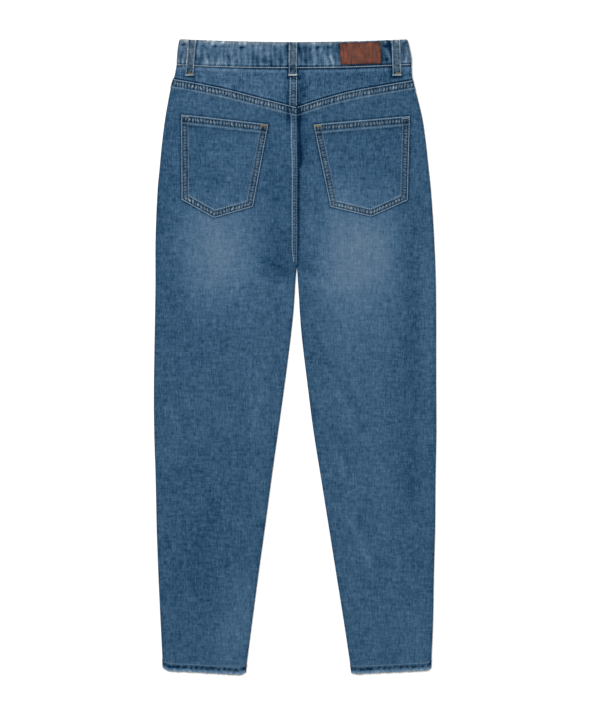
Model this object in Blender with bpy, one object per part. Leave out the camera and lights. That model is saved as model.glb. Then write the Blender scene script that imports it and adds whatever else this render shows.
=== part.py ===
"""A pair of high-waisted, tapered jeans, laid face down with the back upwards.

+Y runs up the garment to the waist and +Z up off the surface that it lies on. The origin is at the
middle of the outline, on that surface. The wearer's left is at -X. Tables and sizes are in
millimetres, measured down from the waist's upper corners ("drop") or across from the middle, and
MM turns them into metres where a mesh is made.

Each leg is a flattened tube of two panels, a back and a front, that meet at mid-height along the
side seam and the inseam. Panels, yokes and the waistband are walls whose outer and inner faces
come from the same height functions, and what lies on a panel starts from that panel's face.
"""

import math
from collections import namedtuple

import bmesh
import bpy
from mathutils import Vector

MM = 0.001
LEFT, RIGHT = -1, 1
BACK, FRONT = 1, -1

# Driving sizes
LENGTH = 1016.0  # from the waist's corners to the lowest hem corner
SEAM_GAP = 0.3  # between two pieces that are sewn together
DENIM = 1.2  # one layer of cloth
BAND_DENIM = 2.4  # the waistband, two layers and their turnings
LOOP_DENIM = 1.6  # a belt loop, folded in three and pressed
FACING_DENIM = 1.0
LEG_THICKNESS = 5.8  # front face to back face, in a leg
SEAT_THICKNESS = 6.2  # the same, under the waistband
PANEL_LIFT = 4.0  # the front panels' height over the floor, at the waistband
LIFT_ENDS = 150.0  # drop below which the front panels lie on the floor
BAND_PROUD = 0.8  # the waistband stands this far outside the panels
EDGE_ROUND = 3.6  # plan radius of the rounded edge along a side seam
PANEL_SAG = 0.7  # the middle of a panel lies this much lower than its edges
SAG_WIDTH = 34.0

# Flat-felled seams, hems and the folds beside them
FELL_WIDTH = 11.0  # of the seat seam
YOKE_FELL = 15.0
FELL_RISE = 0.9
HEM_DEPTH = 12.5
HEM_RISE = 0.7
STEP = 1.1  # width of the slope from a raised seam down to the cloth
CREASE_DEPTH = 1.3  # the fold that runs down beside the seat seam
CREASE_WIDTH = 11.0

CROTCH = 364.0  # drop of the point where the legs part

Side = namedtuple("Side", "drop left right")
SIDE_SEAM = (
    Side(0, 184.6, 179.6),
    Side(13, 187.2, 182.8),
    Side(32, 188.9, 186.2),
    Side(51, 190.4, 186.0),
    Side(70, 196.4, 188.9),
    Side(90, 201.0, 194.7),
    Side(128, 207.8, 203.8),
    Side(166, 212.6, 209.2),
    Side(205, 216.4, 213.5),
    Side(243, 219.9, 217.4),
    Side(320, 223.0, 222.5),
    Side(397, 223.2, 225.2),
    Side(550, 225.6, 225.6),
    Side(627, 225.2, 225.9),
    Side(704, 222.8, 224.6),
    Side(781, 221.2, 223.9),
    Side(858, 218.4, 221.9),
    Side(934, 214.8, 220.5),
    Side(1016, 210.6, 216.8),
)
Inseam = namedtuple("Inseam", "drop left right")
INSEAM = (
    Inseam(CROTCH, 2.8, 2.8),
    Inseam(374, 1.5, 3.8),
    Inseam(390, 0.3, 4.8),
    Inseam(410, -0.9, 6.2),
    Inseam(434, -2.6, 7.5),
    Inseam(474, -6.8, 10.6),
    Inseam(550, -16.5, 19.7),
    Inseam(627, -27.2, 29.6),
    Inseam(704, -38.0, 41.9),
    Inseam(781, -48.3, 54.2),
    Inseam(858, -59.0, 66.4),
    Inseam(934, -69.0, 78.5),
    Inseam(1016, -79.6, 90.8),
)
Centre = namedtuple("Centre", "drop x")
SEAT_SEAM = (
    Centre(0, 3.5),
    Centre(64, 3.6),
    Centre(150, 2.6),
    Centre(210, 4.4),
    Centre(290, 4.4),
    Centre(338, 4.6),
    Centre(CROTCH, 2.8),
)
FRONT_SEAM = (
    Centre(0, 9.0),
    Centre(165, 8.6),
    Centre(225, 3.4),
    Centre(CROTCH, 2.8),
)

# The waist's curved edges: drop at the sides, and how much lower the middle lies
Edge = namedtuple("Edge", "side dip half_width")
BAND_TOP = {BACK: Edge(0.0, 4.8, 187.0), FRONT: Edge(0.0, 9.6, 187.0)}
BAND_FOOT = {BACK: Edge(42.0, 5.4, 190.0), FRONT: Edge(42.0, 12.0, 190.0)}

# The yoke seam falls from the side seams to the seat seam
Yoke = namedtuple("Yoke", "x drop")
YOKE_SIDE = {LEFT: 62.8, RIGHT: 64.6}
YOKE_MIDDLE = 108.0
YOKE_SEAM = {
    LEFT: (
        Yoke(-196, YOKE_SIDE[LEFT]),
        Yoke(-152, 70.5),
        Yoke(-104, 80.8),
        Yoke(-56, 93.2),
        Yoke(3, YOKE_MIDDLE),
    ),
    RIGHT: (
        Yoke(3, YOKE_MIDDLE),
        Yoke(40, 95.8),
        Yoke(88, 82.9),
        Yoke(136, 74.0),
        Yoke(191, YOKE_SIDE[RIGHT]),
    ),
}

# A hem is a slanted line with its outer corner worn round
Hem = namedtuple("Hem", "outer inner corner")
HEMS = {LEFT: Hem(1009.0, 1016.0, 5.0), RIGHT: Hem(1008.5, 1014.6, 2.0)}
HEM_CORNER_SHARE = 0.09

# Soft folds in the back, as ridges: a line in plan, its width and its height
Fold = namedtuple("Fold", "x0 drop0 x1 drop1 width rise")
FOLDS = (
    Fold(36, 512, 84, 580, 15, 0.35),
    Fold(100, 620, 148, 712, 17, 0.35),
    Fold(92, 768, 124, 852, 15, 0.30),
    Fold(-28, 470, -62, 640, 20, 0.30),
    Fold(-196, 560, -176, 680, 16, 0.30),
    Fold(-120, 820, -96, 930, 18, 0.25),
    Fold(196, 430, 188, 640, 16, 0.30),
    Fold(-60, 372, -10, 356, 14, 0.35),
)

# Back pockets: corners in plan, as x and drop
Pocket = namedtuple("Pocket", "top_left top_right foot_right tip foot_left")
POCKETS = {
    LEFT: Pocket((-182.5, 119.8), (-41.5, 135.8), (-66.3, 268.1), (-129.6, 286.1), (-181.5, 256.7)),
    RIGHT: Pocket((29.0, 136.0), (184.0, 122.5), (180.5, 257.7), (122.0, 284.0), (56.5, 268.2)),
}
POCKET_HEM = 16.0
POCKET_HEM_RISE = 0.8
POCKET_EDGE = 10.0
POCKET_EDGE_RISE = 0.5
POCKET_GAPE = 0.9  # how far the middle of the pocket's mouth stands off the panel

# Belt loops: which face, the middle of the upper and lower end in plan, and the width
Loop = namedtuple("Loop", "name face x_top x_foot width")
LOOPS = (
    Loop("belt_loop_back", BACK, -3.4, -3.4, 15.0),
    Loop("belt_loop_side_left", BACK, -164.2, -168.4, 13.6),
    Loop("belt_loop_side_right", BACK, 160.3, 162.5, 14.2),
    Loop("belt_loop_front_left", FRONT, -104.0, -104.0, 13.5),
    Loop("belt_loop_front_right", FRONT, 106.0, 106.0, 13.5),
)
LOOP_FOOT = 60.0  # drop of a back loop's lower end
LOOP_BOW = 1.3  # the room under a loop

# Leather patch: corners in plan
PATCH = ((71.0, 6.8), (136.5, 4.8), (138.4, 39.6), (72.8, 41.6))
PATCH_LEATHER = 1.3

# Front closure and pocket openings
SCOOP_WIDTH = 95.0
SCOOP_DEPTH = 75.0
FACING_OVERLAP = 12.0
UNDERLAP_REACH = 37.0  # how far the waistband runs on behind the fly's edge
BUTTON_RADIUS = 8.5
BUTTON_DEPTH = 2.3
ZIP_TOP, ZIP_FOOT, ZIP_WIDTH, ZIP_DEPTH = 56.0, 172.0, 12.0, 1.0
SLIDER_LENGTH, SLIDER_WIDTH, SLIDER_DEPTH = 11.0, 7.0, 1.2

Finish = namedtuple("Finish", "colour roughness metallic")
FINISHES = {
    "denim": Finish((0.055, 0.115, 0.19), 0.9, 0.0),
    "leather": Finish((0.20, 0.065, 0.035), 0.6, 0.0),
    "brass": Finish((0.42, 0.26, 0.12), 0.35, 1.0),
}


# Curves and heights


def smooth(t):
    """0 before t=0, 1 after t=1, with level ends."""
    t = min(1.0, max(0.0, t))
    return t * t * (3 - 2 * t)


def mix(a, b, share):
    return a + (b - a) * share


def read(table, column, at):
    """A smooth curve through one column of a table, and straight on past its ends."""
    rows = [(row[0], getattr(row, column)) for row in table]
    slopes = []
    for i in range(len(rows)):
        before, after = rows[max(i - 1, 0)], rows[min(i + 1, len(rows) - 1)]
        slopes.append((after[1] - before[1]) / (after[0] - before[0]))
    if at <= rows[0][0]:
        return rows[0][1] + slopes[0] * (at - rows[0][0])
    if at >= rows[-1][0]:
        return rows[-1][1] + slopes[-1] * (at - rows[-1][0])
    i = max(k for k in range(len(rows) - 1) if rows[k][0] <= at)
    span = rows[i + 1][0] - rows[i][0]
    t = (at - rows[i][0]) / span
    return (
        rows[i][1] * (1 + 2 * t) * (1 - t) ** 2
        + slopes[i] * span * t * (1 - t) ** 2
        + rows[i + 1][1] * t * t * (3 - 2 * t)
        + slopes[i + 1] * span * t * t * (t - 1)
    )


def side_x(side, drop):
    """The outline's x at a side seam."""
    return side * read(SIDE_SEAM, "left" if side == LEFT else "right", drop)


def centre_x(face, drop):
    return read(SEAT_SEAM if face == BACK else FRONT_SEAM, "x", drop)


def inner_x(side, face, drop):
    """Where a panel ends towards the middle: the centre seam, and below it the inseam."""
    if drop < CROTCH:
        return centre_x(face, drop) + side * SEAM_GAP / 2
    return read(INSEAM, "left" if side == LEFT else "right", drop) + side * SEAM_GAP / 2


def edge_drop(edge, x):
    return edge.side + edge.dip * max(0.0, 1 - (x / edge.half_width) ** 2)


def yoke_drop(x):
    """The yoke seam's drop at x."""
    side = RIGHT if x > centre_x(BACK, YOKE_MIDDLE) else LEFT
    return read(YOKE_SEAM[side], "drop", x)


def hem_drop(side, x):
    """A hem's drop at x."""
    hem = HEMS[side]
    outer, inner = side_x(side, hem.outer), inner_x(side, BACK, hem.inner)
    share = min(1.0, max(0.0, (x - outer) / (inner - outer)))
    corner = max(0.0, 1 - share / HEM_CORNER_SHARE) ** 2
    return mix(hem.outer, hem.inner, share) - hem.corner * corner


def front_face(drop):
    """Height of the front panels' lower face."""
    start = BAND_FOOT[BACK].side
    return PANEL_LIFT * (1 - smooth((drop - start) / (LIFT_ENDS - start)))


def back_face(drop):
    """Height of the back panels' upper face, next to the side seams."""
    start = BAND_FOOT[BACK].side
    share = smooth((drop - start) / (LIFT_ENDS - start))
    return front_face(drop) + mix(SEAT_THICKNESS, LEG_THICKNESS, share)


def seam_height(drop):
    return (front_face(drop) + back_face(drop)) / 2


def fold_rise(x, drop):
    """The soft folds' height over the plain back."""
    total = 0.0
    for fold in FOLDS:
        along = Vector((fold.x1 - fold.x0, fold.drop1 - fold.drop0))
        at = Vector((x - fold.x0, drop - fold.drop0))
        share = at.dot(along) / along.length_squared
        across = (at - along * min(1.0, max(0.0, share))).length / fold.width
        total += fold.rise * math.exp(-across * across)
    return total


def crease(x, drop):
    """The fold beside the seat seam, where the right panel dips under the felled edge."""
    aside = x - centre_x(BACK, drop)
    if aside < 0:
        return 0.0
    length = smooth((drop - 150) / 30) * smooth((CROTCH - 8 - drop) / 30)
    return CREASE_DEPTH * length * (1 - smooth(aside / CREASE_WIDTH))


def back_sag(x, drop, aside):
    """How far the back lies under its edges' height, aside being the distance from an edge."""
    settled = PANEL_SAG * smooth((aside - EDGE_ROUND) / SAG_WIDTH)
    settled *= smooth((drop - 60) / 90)
    return settled - fold_rise(x, drop) * smooth(aside / 12) + crease(x, drop)


# Panels


def edge_distance(side, face, x, drop):
    """The distance in plan to the side seam, then to the inseam or the crotch, each with the way out."""
    outline = side_x(side, drop)
    out = side * (outline - x)
    slope = side_x(side, drop + 1) - side_x(side, drop - 1)
    out_way = Vector((side, side * slope / 2 * side, 0)).normalized()
    inner = inner_x(side, face, drop)
    if drop >= CROTCH:
        return out, out_way, side * (x - inner), Vector((-side, 0, 0))
    way = Vector((inner - x, drop - CROTCH, 0))
    if way.length < 1e-6:
        return out, out_way, 0.0, Vector((0, -1, 0))
    return out, out_way, way.length, way.normalized()


def wall_point(side, face, x, drop, relief=0.0, wall=DENIM, inset=0.0):
    """The outer and inner point of a panel at one place in plan."""
    out, out_way, into, in_way = edge_distance(side, face, x, drop)
    near = [(max(0.0, 1 - d / EDGE_ROUND), way) for d, way in ((out, out_way), (into, in_way))]
    rise = math.prod(math.sqrt(max(0.0, 1 - c * c)) for c, _ in near)
    half = (back_face(drop) - front_face(drop)) / 2 - inset
    height = seam_height(drop) + face * (SEAM_GAP / 2 + (half - SEAM_GAP / 2) * rise)
    if face == BACK:
        aside = min(out, into) if drop > CROTCH else min(out, into + EDGE_ROUND)
        height -= back_sag(x, drop, aside) * rise
    normal = Vector((0, 0, face * rise / half))
    for share, way in near:
        normal += way * (share / EDGE_ROUND)
    normal.normalize()
    outer = Vector((x, LENGTH / 2 - drop, height))
    return outer + normal * relief, outer - normal * wall


ROUND_STEPS = tuple(EDGE_ROUND * (1 - math.cos(math.radians(a))) for a in (0, 30, 60, 90))


def columns(side, face, drop, count, edge_in=0.0):
    """A row's x values from the outer edge to the middle, close together at both edges."""
    outer = side_x(side, drop) - side * edge_in
    inner = inner_x(side, face, drop)
    fell = (FELL_WIDTH, FELL_WIDTH + STEP)
    first, last = outer - side * EDGE_ROUND, inner + side * fell[1]
    middle = [mix(first, last, (i + 1) / (count + 1)) for i in range(count)]
    near_outer = [outer - side * step for step in ROUND_STEPS]
    near_inner = [inner + side * step for step in (fell[1], fell[0], *reversed(ROUND_STEPS))]
    return near_outer + middle + near_inner


def back_relief(side, x, drop):
    """Raised seams on a back panel: the felled yoke and seat seams, and the turned hem."""
    below_yoke = drop - yoke_drop(x)
    raised = FELL_RISE * (below_yoke < YOKE_FELL + STEP / 2)
    aside = abs(x - inner_x(side, BACK, drop))
    if side == LEFT and aside < FELL_WIDTH + STEP / 2:
        raised = max(raised, FELL_RISE * smooth((CROTCH - 6 - drop) / 12))
    above_hem = hem_drop(side, x) - drop
    return max(raised, HEM_RISE * (above_hem < HEM_DEPTH + STEP / 2))


BACK_LEVELS = (
    150, 180, 210, 240, 270, 300, 322, 340,
    CROTCH - 10, CROTCH - 3.6, CROTCH - 1.8, CROTCH - 0.5, CROTCH,
    CROTCH + 5, 382, 402, 425, 460, 500, 540, 580, 620, 660, 700, 745, 790, 835, 880, 925, 965,
)  # fmt: skip
FRONT_LEVELS = (
    122, 160, 210, 260, 310, 338,
    CROTCH - 10, CROTCH - 3.6, CROTCH - 1.8, CROTCH - 0.5, CROTCH,
    CROTCH + 5, 386, 410, 440, 500, 560, 640, 720, 800, 880, 960,
)  # fmt: skip
HEM_FADE = 150.0


def hem_rows(side, level_columns):
    """Three rows that follow the hem: above its turning, at it, and the edge."""
    rows = []
    for above in (HEM_DEPTH + STEP, HEM_DEPTH, 0.0):
        rows.append([(x, hem_drop(side, x) - above) for x in level_columns(HEMS[side].inner - above)])
    return rows


def hem_slant(side, x, level):
    """How far a row at this level leans with the hem below it."""
    share = smooth((level - (HEMS[side].inner - HEM_FADE)) / HEM_FADE)
    return (hem_drop(side, x) - HEMS[side].inner) * share


def back_rows(side):
    """Plan points of a back panel, from the yoke seam down to the hem."""
    rows = []
    for below in (SEAM_GAP, YOKE_FELL, YOKE_FELL + STEP):
        level = columns(side, BACK, YOKE_SIDE[side] + below, 8)
        rows.append([(x, yoke_drop(x) + below) for x in level])
    for level in BACK_LEVELS:
        leaning = 1 - smooth((level - 125) / 230)
        row = []
        for x in columns(side, BACK, level, 8):
            drop = level - (YOKE_MIDDLE - yoke_drop(x)) * leaning + hem_slant(side, x, level)
            row.append((x, drop))
        rows.append(row)
    rows += hem_rows(side, lambda level: columns(side, BACK, level, 8))
    return rows


def cleaned(side, face, rows, edge_in=None):
    """Moves each row's end points onto the outline at their own drop."""
    done = []
    for row in rows:
        first, last = row[0], row[-1]
        shift_in = inner_x(side, face, last[1]) - last[0]
        shift_out = 0.0
        if edge_in is None:
            shift_out = side_x(side, first[1]) - first[0]
        width = last[0] - first[0]
        done.append(
            [(x + mix(shift_out, shift_in, (x - first[0]) / width), drop) for x, drop in row]
        )
    return done


def scoop_in(level):
    """How far the front pocket's curved mouth lies from the side seam, at a level beside it."""
    share = (level - BAND_FOOT[FRONT].side) / SCOOP_DEPTH
    return SCOOP_WIDTH * math.sqrt(max(0.0, 1 - share * share))


def front_rows(side):
    """Plan points of a front panel, from the waistband and the pocket's mouth down to the hem."""
    rows = []
    foot = BAND_FOOT[FRONT]
    for angle in (90, 75, 60, 45, 30, 14):
        level = foot.side + SCOOP_DEPTH * math.cos(math.radians(angle))
        row = []
        for x in columns(side, FRONT, level, 5, edge_in=scoop_in(level)):
            lean = (edge_drop(foot, x) - foot.side) * (1 - smooth((level - foot.side) / 260))
            row.append((x, level + SEAM_GAP + lean))
        rows.append(row)
    for level in (foot.side + SCOOP_DEPTH + SEAM_GAP, *FRONT_LEVELS):
        row = []
        for x in columns(side, FRONT, level, 5):
            lean = (edge_drop(foot, x) - foot.side) * (1 - smooth((level - foot.side) / 260))
            row.append((x, level + lean + hem_slant(side, x, level)))
        rows.append(row)
    rows.append([(x, hem_drop(side, x)) for x in columns(side, FRONT, HEMS[side].inner, 5)])
    return rows


def yoke_rows(side):
    """Plan points of a yoke, from the waistband down to the yoke seam."""
    rows = []
    for share in (0.0, 0.33, 0.67, 1.0):
        level = mix(BAND_FOOT[BACK].side, YOKE_SIDE[side], share)
        row = []
        for x in columns(side, BACK, level, 6):
            top, foot = edge_drop(BAND_FOOT[BACK], x) + SEAM_GAP, yoke_drop(x)
            row.append((x, mix(top, foot, share)))
        rows.append(row)
    return rows


# Meshes


def add_object(name, mesh, finish):
    obj = bpy.data.objects.new(name, mesh)
    bpy.context.scene.collection.objects.link(obj)
    mesh.materials.append(material(finish))
    return obj


def material(finish):
    """The finish's material, made once."""
    found = bpy.data.materials.get(finish)
    if found:
        return found
    made = bpy.data.materials.new(finish)
    made.use_nodes = True
    shader = made.node_tree.nodes["Principled BSDF"]
    shader.inputs["Base Color"].default_value = (*FINISHES[finish].colour, 1)
    shader.inputs["Roughness"].default_value = FINISHES[finish].roughness
    shader.inputs["Metallic"].default_value = FINISHES[finish].metallic
    return made


def finish_mesh(name, bm, finish):
    bmesh.ops.recalc_face_normals(bm, faces=bm.faces)
    mesh = bpy.data.meshes.new(name)
    bm.to_mesh(mesh)
    bm.free()
    mesh.shade_smooth()
    mesh.set_sharp_from_angle(angle=math.radians(40))
    return add_object(name, mesh, finish)


def wall(name, grid, finish="denim"):
    """A closed wall from a grid of outer and inner points, rows by columns."""
    bm = bmesh.new()
    faces = [[[bm.verts.new(pair[k] * MM) for pair in row] for row in grid] for k in (0, 1)]
    rows, count = len(grid), len(grid[0])
    for verts in faces:
        for i in range(rows - 1):
            for j in range(count - 1):
                bm.faces.new((verts[i][j], verts[i][j + 1], verts[i + 1][j + 1], verts[i + 1][j]))
    rim = [(0, j) for j in range(count)] + [(i, count - 1) for i in range(1, rows)]
    rim += [(rows - 1, j) for j in reversed(range(count - 1))] + [(i, 0) for i in reversed(range(1, rows - 1))]
    outer, inner = faces
    for (i, j), (k, m) in zip(rim, rim[1:] + rim[:1]):
        bm.faces.new((outer[i][j], outer[k][m], inner[k][m], inner[i][j]))
    return finish_mesh(name, bm, finish)


def loft(name, sections, finish="denim"):
    """A closed solid through rings of points, each with the same count, with flat ends."""
    bm = bmesh.new()
    rings = [[bm.verts.new(point * MM) for point in ring] for ring in sections]
    for ring, following in zip(rings, rings[1:]):
        for k in range(len(ring)):
            m = (k + 1) % len(ring)
            bm.faces.new((ring[k], ring[m], following[m], following[k]))
    bm.faces.new(rings[0])
    bm.faces.new(reversed(rings[-1]))
    return finish_mesh(name, bm, finish)


# Legs, yokes and facings


def build_back(side, word):
    rows = cleaned(side, BACK, back_rows(side))
    grid = [[wall_point(side, BACK, x, drop, back_relief(side, x, drop)) for x, drop in row] for row in rows]
    wall(f"back_leg_{word}", grid)


def build_front(side, word):
    rows = front_rows(side)
    scooped = cleaned(side, FRONT, rows[:6], edge_in=True)
    rows = scooped + cleaned(side, FRONT, rows[6:])
    grid = [[wall_point(side, FRONT, x, drop) for x, drop in row] for row in rows]
    wall(f"front_leg_{word}", grid)


def build_yoke(side, word):
    """A yoke, with the left one carrying the seat seam's felled edge."""
    grid = []
    for row in cleaned(side, BACK, yoke_rows(side)):
        points = []
        for x, drop in row:
            aside = abs(x - inner_x(side, BACK, drop))
            raised = side == LEFT and aside < FELL_WIDTH + STEP / 2
            points.append(wall_point(side, BACK, x, drop, FELL_RISE if raised else 0.0))
        grid.append(points)
    wall(f"yoke_{word}", grid)


def build_facing(side, word):
    """The piece that shows inside a front pocket's mouth, from the side seam to under the front."""
    steps = (*ROUND_STEPS, 14.0, 25.0, 40.0, 60.0, 80.0, SCOOP_WIDTH, SCOOP_WIDTH + FACING_OVERLAP)
    foot = BAND_FOOT[FRONT]
    grid = []
    for share in (0.0, 0.35, 0.7, 1.0):
        row = []
        for step in steps:
            level = foot.side + share * SCOOP_DEPTH * math.sqrt(max(0.0, 1 - (step / SCOOP_WIDTH) ** 2))
            x = side_x(side, level) - side * step
            top = edge_drop(foot, x) + SEAM_GAP
            mouth = foot.side + SCOOP_DEPTH * math.sqrt(max(0.0, 1 - (step / SCOOP_WIDTH) ** 2))
            under = FACING_OVERLAP * smooth((step - 25) / 15)
            low = max(mouth - 1.0 + under, top + FACING_OVERLAP)
            inset = (DENIM + SEAM_GAP) * smooth((step - EDGE_ROUND) / 20)
            drop = mix(top, low, share)
            x = side_x(side, drop) - side * step
            row.append(wall_point(side, FRONT, x, drop, wall=FACING_DENIM, inset=inset))
        grid.append(row)
    wall(f"front_facing_{word}", grid)


# Waistband

BAND_ROUND = 4.4
PUCKER = 0.32
PUCKER_LENGTH = 15.0


def band_height(face):
    """Height of the waistband's outer face, on the back or the front."""
    drop = BAND_FOOT[BACK].side
    return back_face(drop) + BAND_PROUD if face == BACK else front_face(drop) - BAND_PROUD


def pucker(x, up):
    """The wash puckers in the back of the waistband, clear of the patch and the loops."""
    wave = math.sin(2 * math.pi * x / PUCKER_LENGTH + 1.3 * math.sin(x / 31))
    clear = smooth((abs(x - 104) - 36) / 8) * smooth((150 - abs(x)) / 12) * smooth((abs(x + 4) - 9) / 5)
    return PUCKER * wave * clear * up


def band_stations():
    """The waistband's path: along the front, round the left side, over the back and round again."""
    stations = []
    end = centre_x(FRONT, 20) - SEAM_GAP / 2
    half = {side: abs(side_x(side, 20)) - BAND_ROUND for side in (LEFT, RIGHT)}
    front_count, back_count = 7, 96
    for i in range(front_count):
        stations.append((mix(end, -half[LEFT], i / front_count), -90, 0.0))
    for angle in range(-90, 90, 30):
        stations.append((-half[LEFT], angle, 0.0))
    for i in range(back_count):
        stations.append((mix(-half[LEFT], half[RIGHT], i / back_count), 90, 0.0))
    for angle in range(90, -90, -30):
        stations.append((half[RIGHT], angle, 0.0))
    tuck = BAND_DENIM + SEAM_GAP
    for x, raised in ((half[RIGHT], 0), (120, 0), (80, 0), (46, 0), (38, 0.15), (30, 0.5), (22, 0.85), (14, 1), (-8, 1)):
        stations.append((x, -90, tuck * raised))
    stations.append((end - UNDERLAP_REACH, -90, tuck))
    return stations


def band_point(station, share, depth, lean):
    """A point of the waistband: share runs from its foot to its top, depth goes into the cloth."""
    across, angle, tuck = station
    turn = math.radians(angle)
    low, high = band_height(FRONT), band_height(BACK)
    half = (high - low) / 2
    side = LEFT if across < 0 else RIGHT
    back_share = (math.sin(turn) + 1) / 2
    level = mix(BAND_FOOT[BACK].side, BAND_TOP[BACK].side, share) + lean
    widen = side_x(side, level) / side_x(side, 20) if abs(across) > 60 else 1.0
    x = across * widen + side * BAND_ROUND * math.cos(turn)
    top = mix(edge_drop(BAND_TOP[FRONT], x), edge_drop(BAND_TOP[BACK], x), back_share)
    foot = mix(edge_drop(BAND_FOOT[FRONT], x), edge_drop(BAND_FOOT[BACK], x), back_share)
    drop = mix(foot, top, share) + lean
    normal = Vector((side * math.cos(turn) / BAND_ROUND, 0, math.sin(turn) / half))
    normal.normalize()
    z = low + half + half * math.sin(turn) + tuck
    return Vector((x, LENGTH / 2 - drop, z)) - normal * depth


def build_waistband():
    """One strip round the waist whose left end lies outside its right end, at the fly."""
    sections = []
    for station in band_stations():
        x, angle = station[0], station[1]
        foot_wave = pucker(x, 1.0) if angle == 90 else 0.0
        mid_wave = pucker(x + 3, 0.45) if angle == 90 else 0.0
        ring = [
            band_point(station, 0.0, 0.0, 0.0),
            band_point(station, 0.2, -foot_wave, 0.0),
            band_point(station, 0.55, -mid_wave, 0.0),
            band_point(station, 1.0, 0.2, 1.0),
            band_point(station, 1.0, BAND_DENIM / 2, 0.0),
            band_point(station, 1.0, BAND_DENIM - 0.2, 1.0),
            band_point(station, 0.5, BAND_DENIM, 0.0),
            band_point(station, 0.0, BAND_DENIM, 0.0),
        ]
        sections.append(ring)
    loft("waistband", sections)


# What lies on the panels


def on_back(x, drop):
    """Height of the back's outer face at a place in plan, over the panels."""
    side = RIGHT if x > centre_x(BACK, drop) else LEFT
    return wall_point(side, BACK, x, drop)[0].z


def build_pocket(side, word):
    """A back pocket: five corners, a turned hem at its mouth and turned edges."""
    corners = POCKETS[side]
    tip_share = (corners.tip[0] - corners.foot_left[0]) / (corners.foot_right[0] - corners.foot_left[0])
    width = corners.top_right[0] - corners.top_left[0]
    edge, slope = POCKET_EDGE / width, STEP / width
    shares = [0.0, edge, edge + slope, tip_share / 2 + 0.04, tip_share, (1 + tip_share) / 2 - 0.04]
    shares += [1 - edge - slope, 1 - edge, 1.0]
    grid = []
    rows = (0.0, POCKET_HEM, POCKET_HEM + STEP, 0.3, 0.5, 0.7, -POCKET_EDGE - STEP, -POCKET_EDGE, -0.0001)
    for row_place in rows:
        row = []
        for share in shares:
            top = Vector(corners.top_left).lerp(Vector(corners.top_right), share)
            if share <= tip_share:
                foot = Vector(corners.foot_left).lerp(Vector(corners.tip), share / tip_share)
            else:
                foot = Vector(corners.tip).lerp(Vector(corners.foot_right), (share - tip_share) / (1 - tip_share))
            length = (foot - top).length
            if 0 < row_place < 1:
                down = row_place
            elif row_place < 0:
                down = 1 + row_place / length
            else:
                down = row_place / length
            place = top.lerp(foot, down)
            raised = 0.0
            if down * length <= POCKET_HEM + 0.01:
                raised = POCKET_HEM_RISE
            elif share <= edge + 0.001 or share >= 1 - edge - 0.001 or (1 - down) * length <= POCKET_EDGE + 0.01:
                raised = POCKET_EDGE_RISE
            gape = POCKET_GAPE * 4 * share * (1 - share) * max(0.0, 1 - 2.2 * down) ** 2
            height = on_back(place.x, place.y) + SEAM_GAP + gape
            at = Vector((place.x, LENGTH / 2 - place.y, height))
            row.append((at + Vector((0, 0, DENIM + raised)), at))
        grid.append(row)
    wall(f"back_pocket_{word}", grid)


def build_patch():
    """The leather patch on the back of the waistband."""
    grid = []
    for down in (0.0, 0.04, 0.35, 0.65, 0.96, 1.0):
        row = []
        for share in (0.0, 0.02, 0.25, 0.5, 0.75, 0.98, 1.0):
            top = Vector(PATCH[0]).lerp(Vector(PATCH[1]), share)
            foot = Vector(PATCH[3]).lerp(Vector(PATCH[2]), share)
            place = top.lerp(foot, down)
            rim = share in (0.0, 1.0) or down in (0.0, 1.0)
            at = Vector((place.x, LENGTH / 2 - place.y, band_height(BACK) + SEAM_GAP))
            row.append((at + Vector((0, 0, PATCH_LEATHER - 0.4 * rim)), at))
        grid.append(row)
    wall("patch", grid, "leather")


def build_loop(loop):
    """A belt loop, tacked at both ends, with the room for a belt under its middle."""
    top = edge_drop(BAND_TOP[loop.face], loop.x_top) + 0.6
    band_foot = edge_drop(BAND_FOOT[loop.face], loop.x_foot)
    foot = band_foot + LOOP_FOOT - edge_drop(BAND_FOOT[BACK], loop.x_foot)
    drops = [top, top + 2.5, top + 6, top + 13, mix(top, band_foot, 0.55), band_foot - 8, band_foot - 1.5]
    drops += [band_foot + 3.0, foot - 4.5, foot - 0.6, foot]
    sections = []
    for drop in drops:
        share = (drop - top) / (foot - top)
        x = mix(loop.x_top, loop.x_foot, share)
        bow = LOOP_BOW * smooth((drop - top) / 12) * smooth((foot - 3.5 - drop) / 9)
        seat = band_height(loop.face)
        if drop > band_foot + 2:
            panel = on_back(x, drop) + FELL_RISE * (loop.x_foot > -10) if loop.face == BACK else front_face(drop)
            seat = mix(seat, panel, smooth((drop - band_foot - 1) / 4))
        low = seat + loop.face * (SEAM_GAP + bow)
        high = low + loop.face * LOOP_DENIM
        half = loop.width / 2
        y = LENGTH / 2 - drop
        soft = 0.35 * loop.face
        ring = [(-half + 0.5, low), (-half, low + soft), (-half, high - 1.4 * soft), (-half + 1.2, high)]
        ring += [(half - 1.2, high), (half, high - 1.4 * soft), (half, low + soft), (half - 0.5, low)]
        sections.append([Vector((x + dx, y, z)) for dx, z in ring])
    loft(loop.name, sections)


def build_button():
    """The waist button's head, under the front of the waistband."""
    sides = 28
    middle = (edge_drop(BAND_TOP[FRONT], 0) + edge_drop(BAND_FOOT[FRONT], 0)) / 2
    top = band_height(FRONT) - SEAM_GAP
    profile = ((0.72, 0.0), (1.0, 0.25), (1.0, 0.62), (0.9, 0.9), (0.66, 1.0))
    sections = []
    for radius, depth in profile:
        ring = []
        for k in range(sides):
            turn = 2 * math.pi * k / sides
            across = BUTTON_RADIUS * radius
            ring.append(
                Vector((across * math.cos(turn), LENGTH / 2 - middle + across * math.sin(turn), top - BUTTON_DEPTH * depth))
            )
        sections.append(ring)
    loft("waist_button", sections, "brass")


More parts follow.
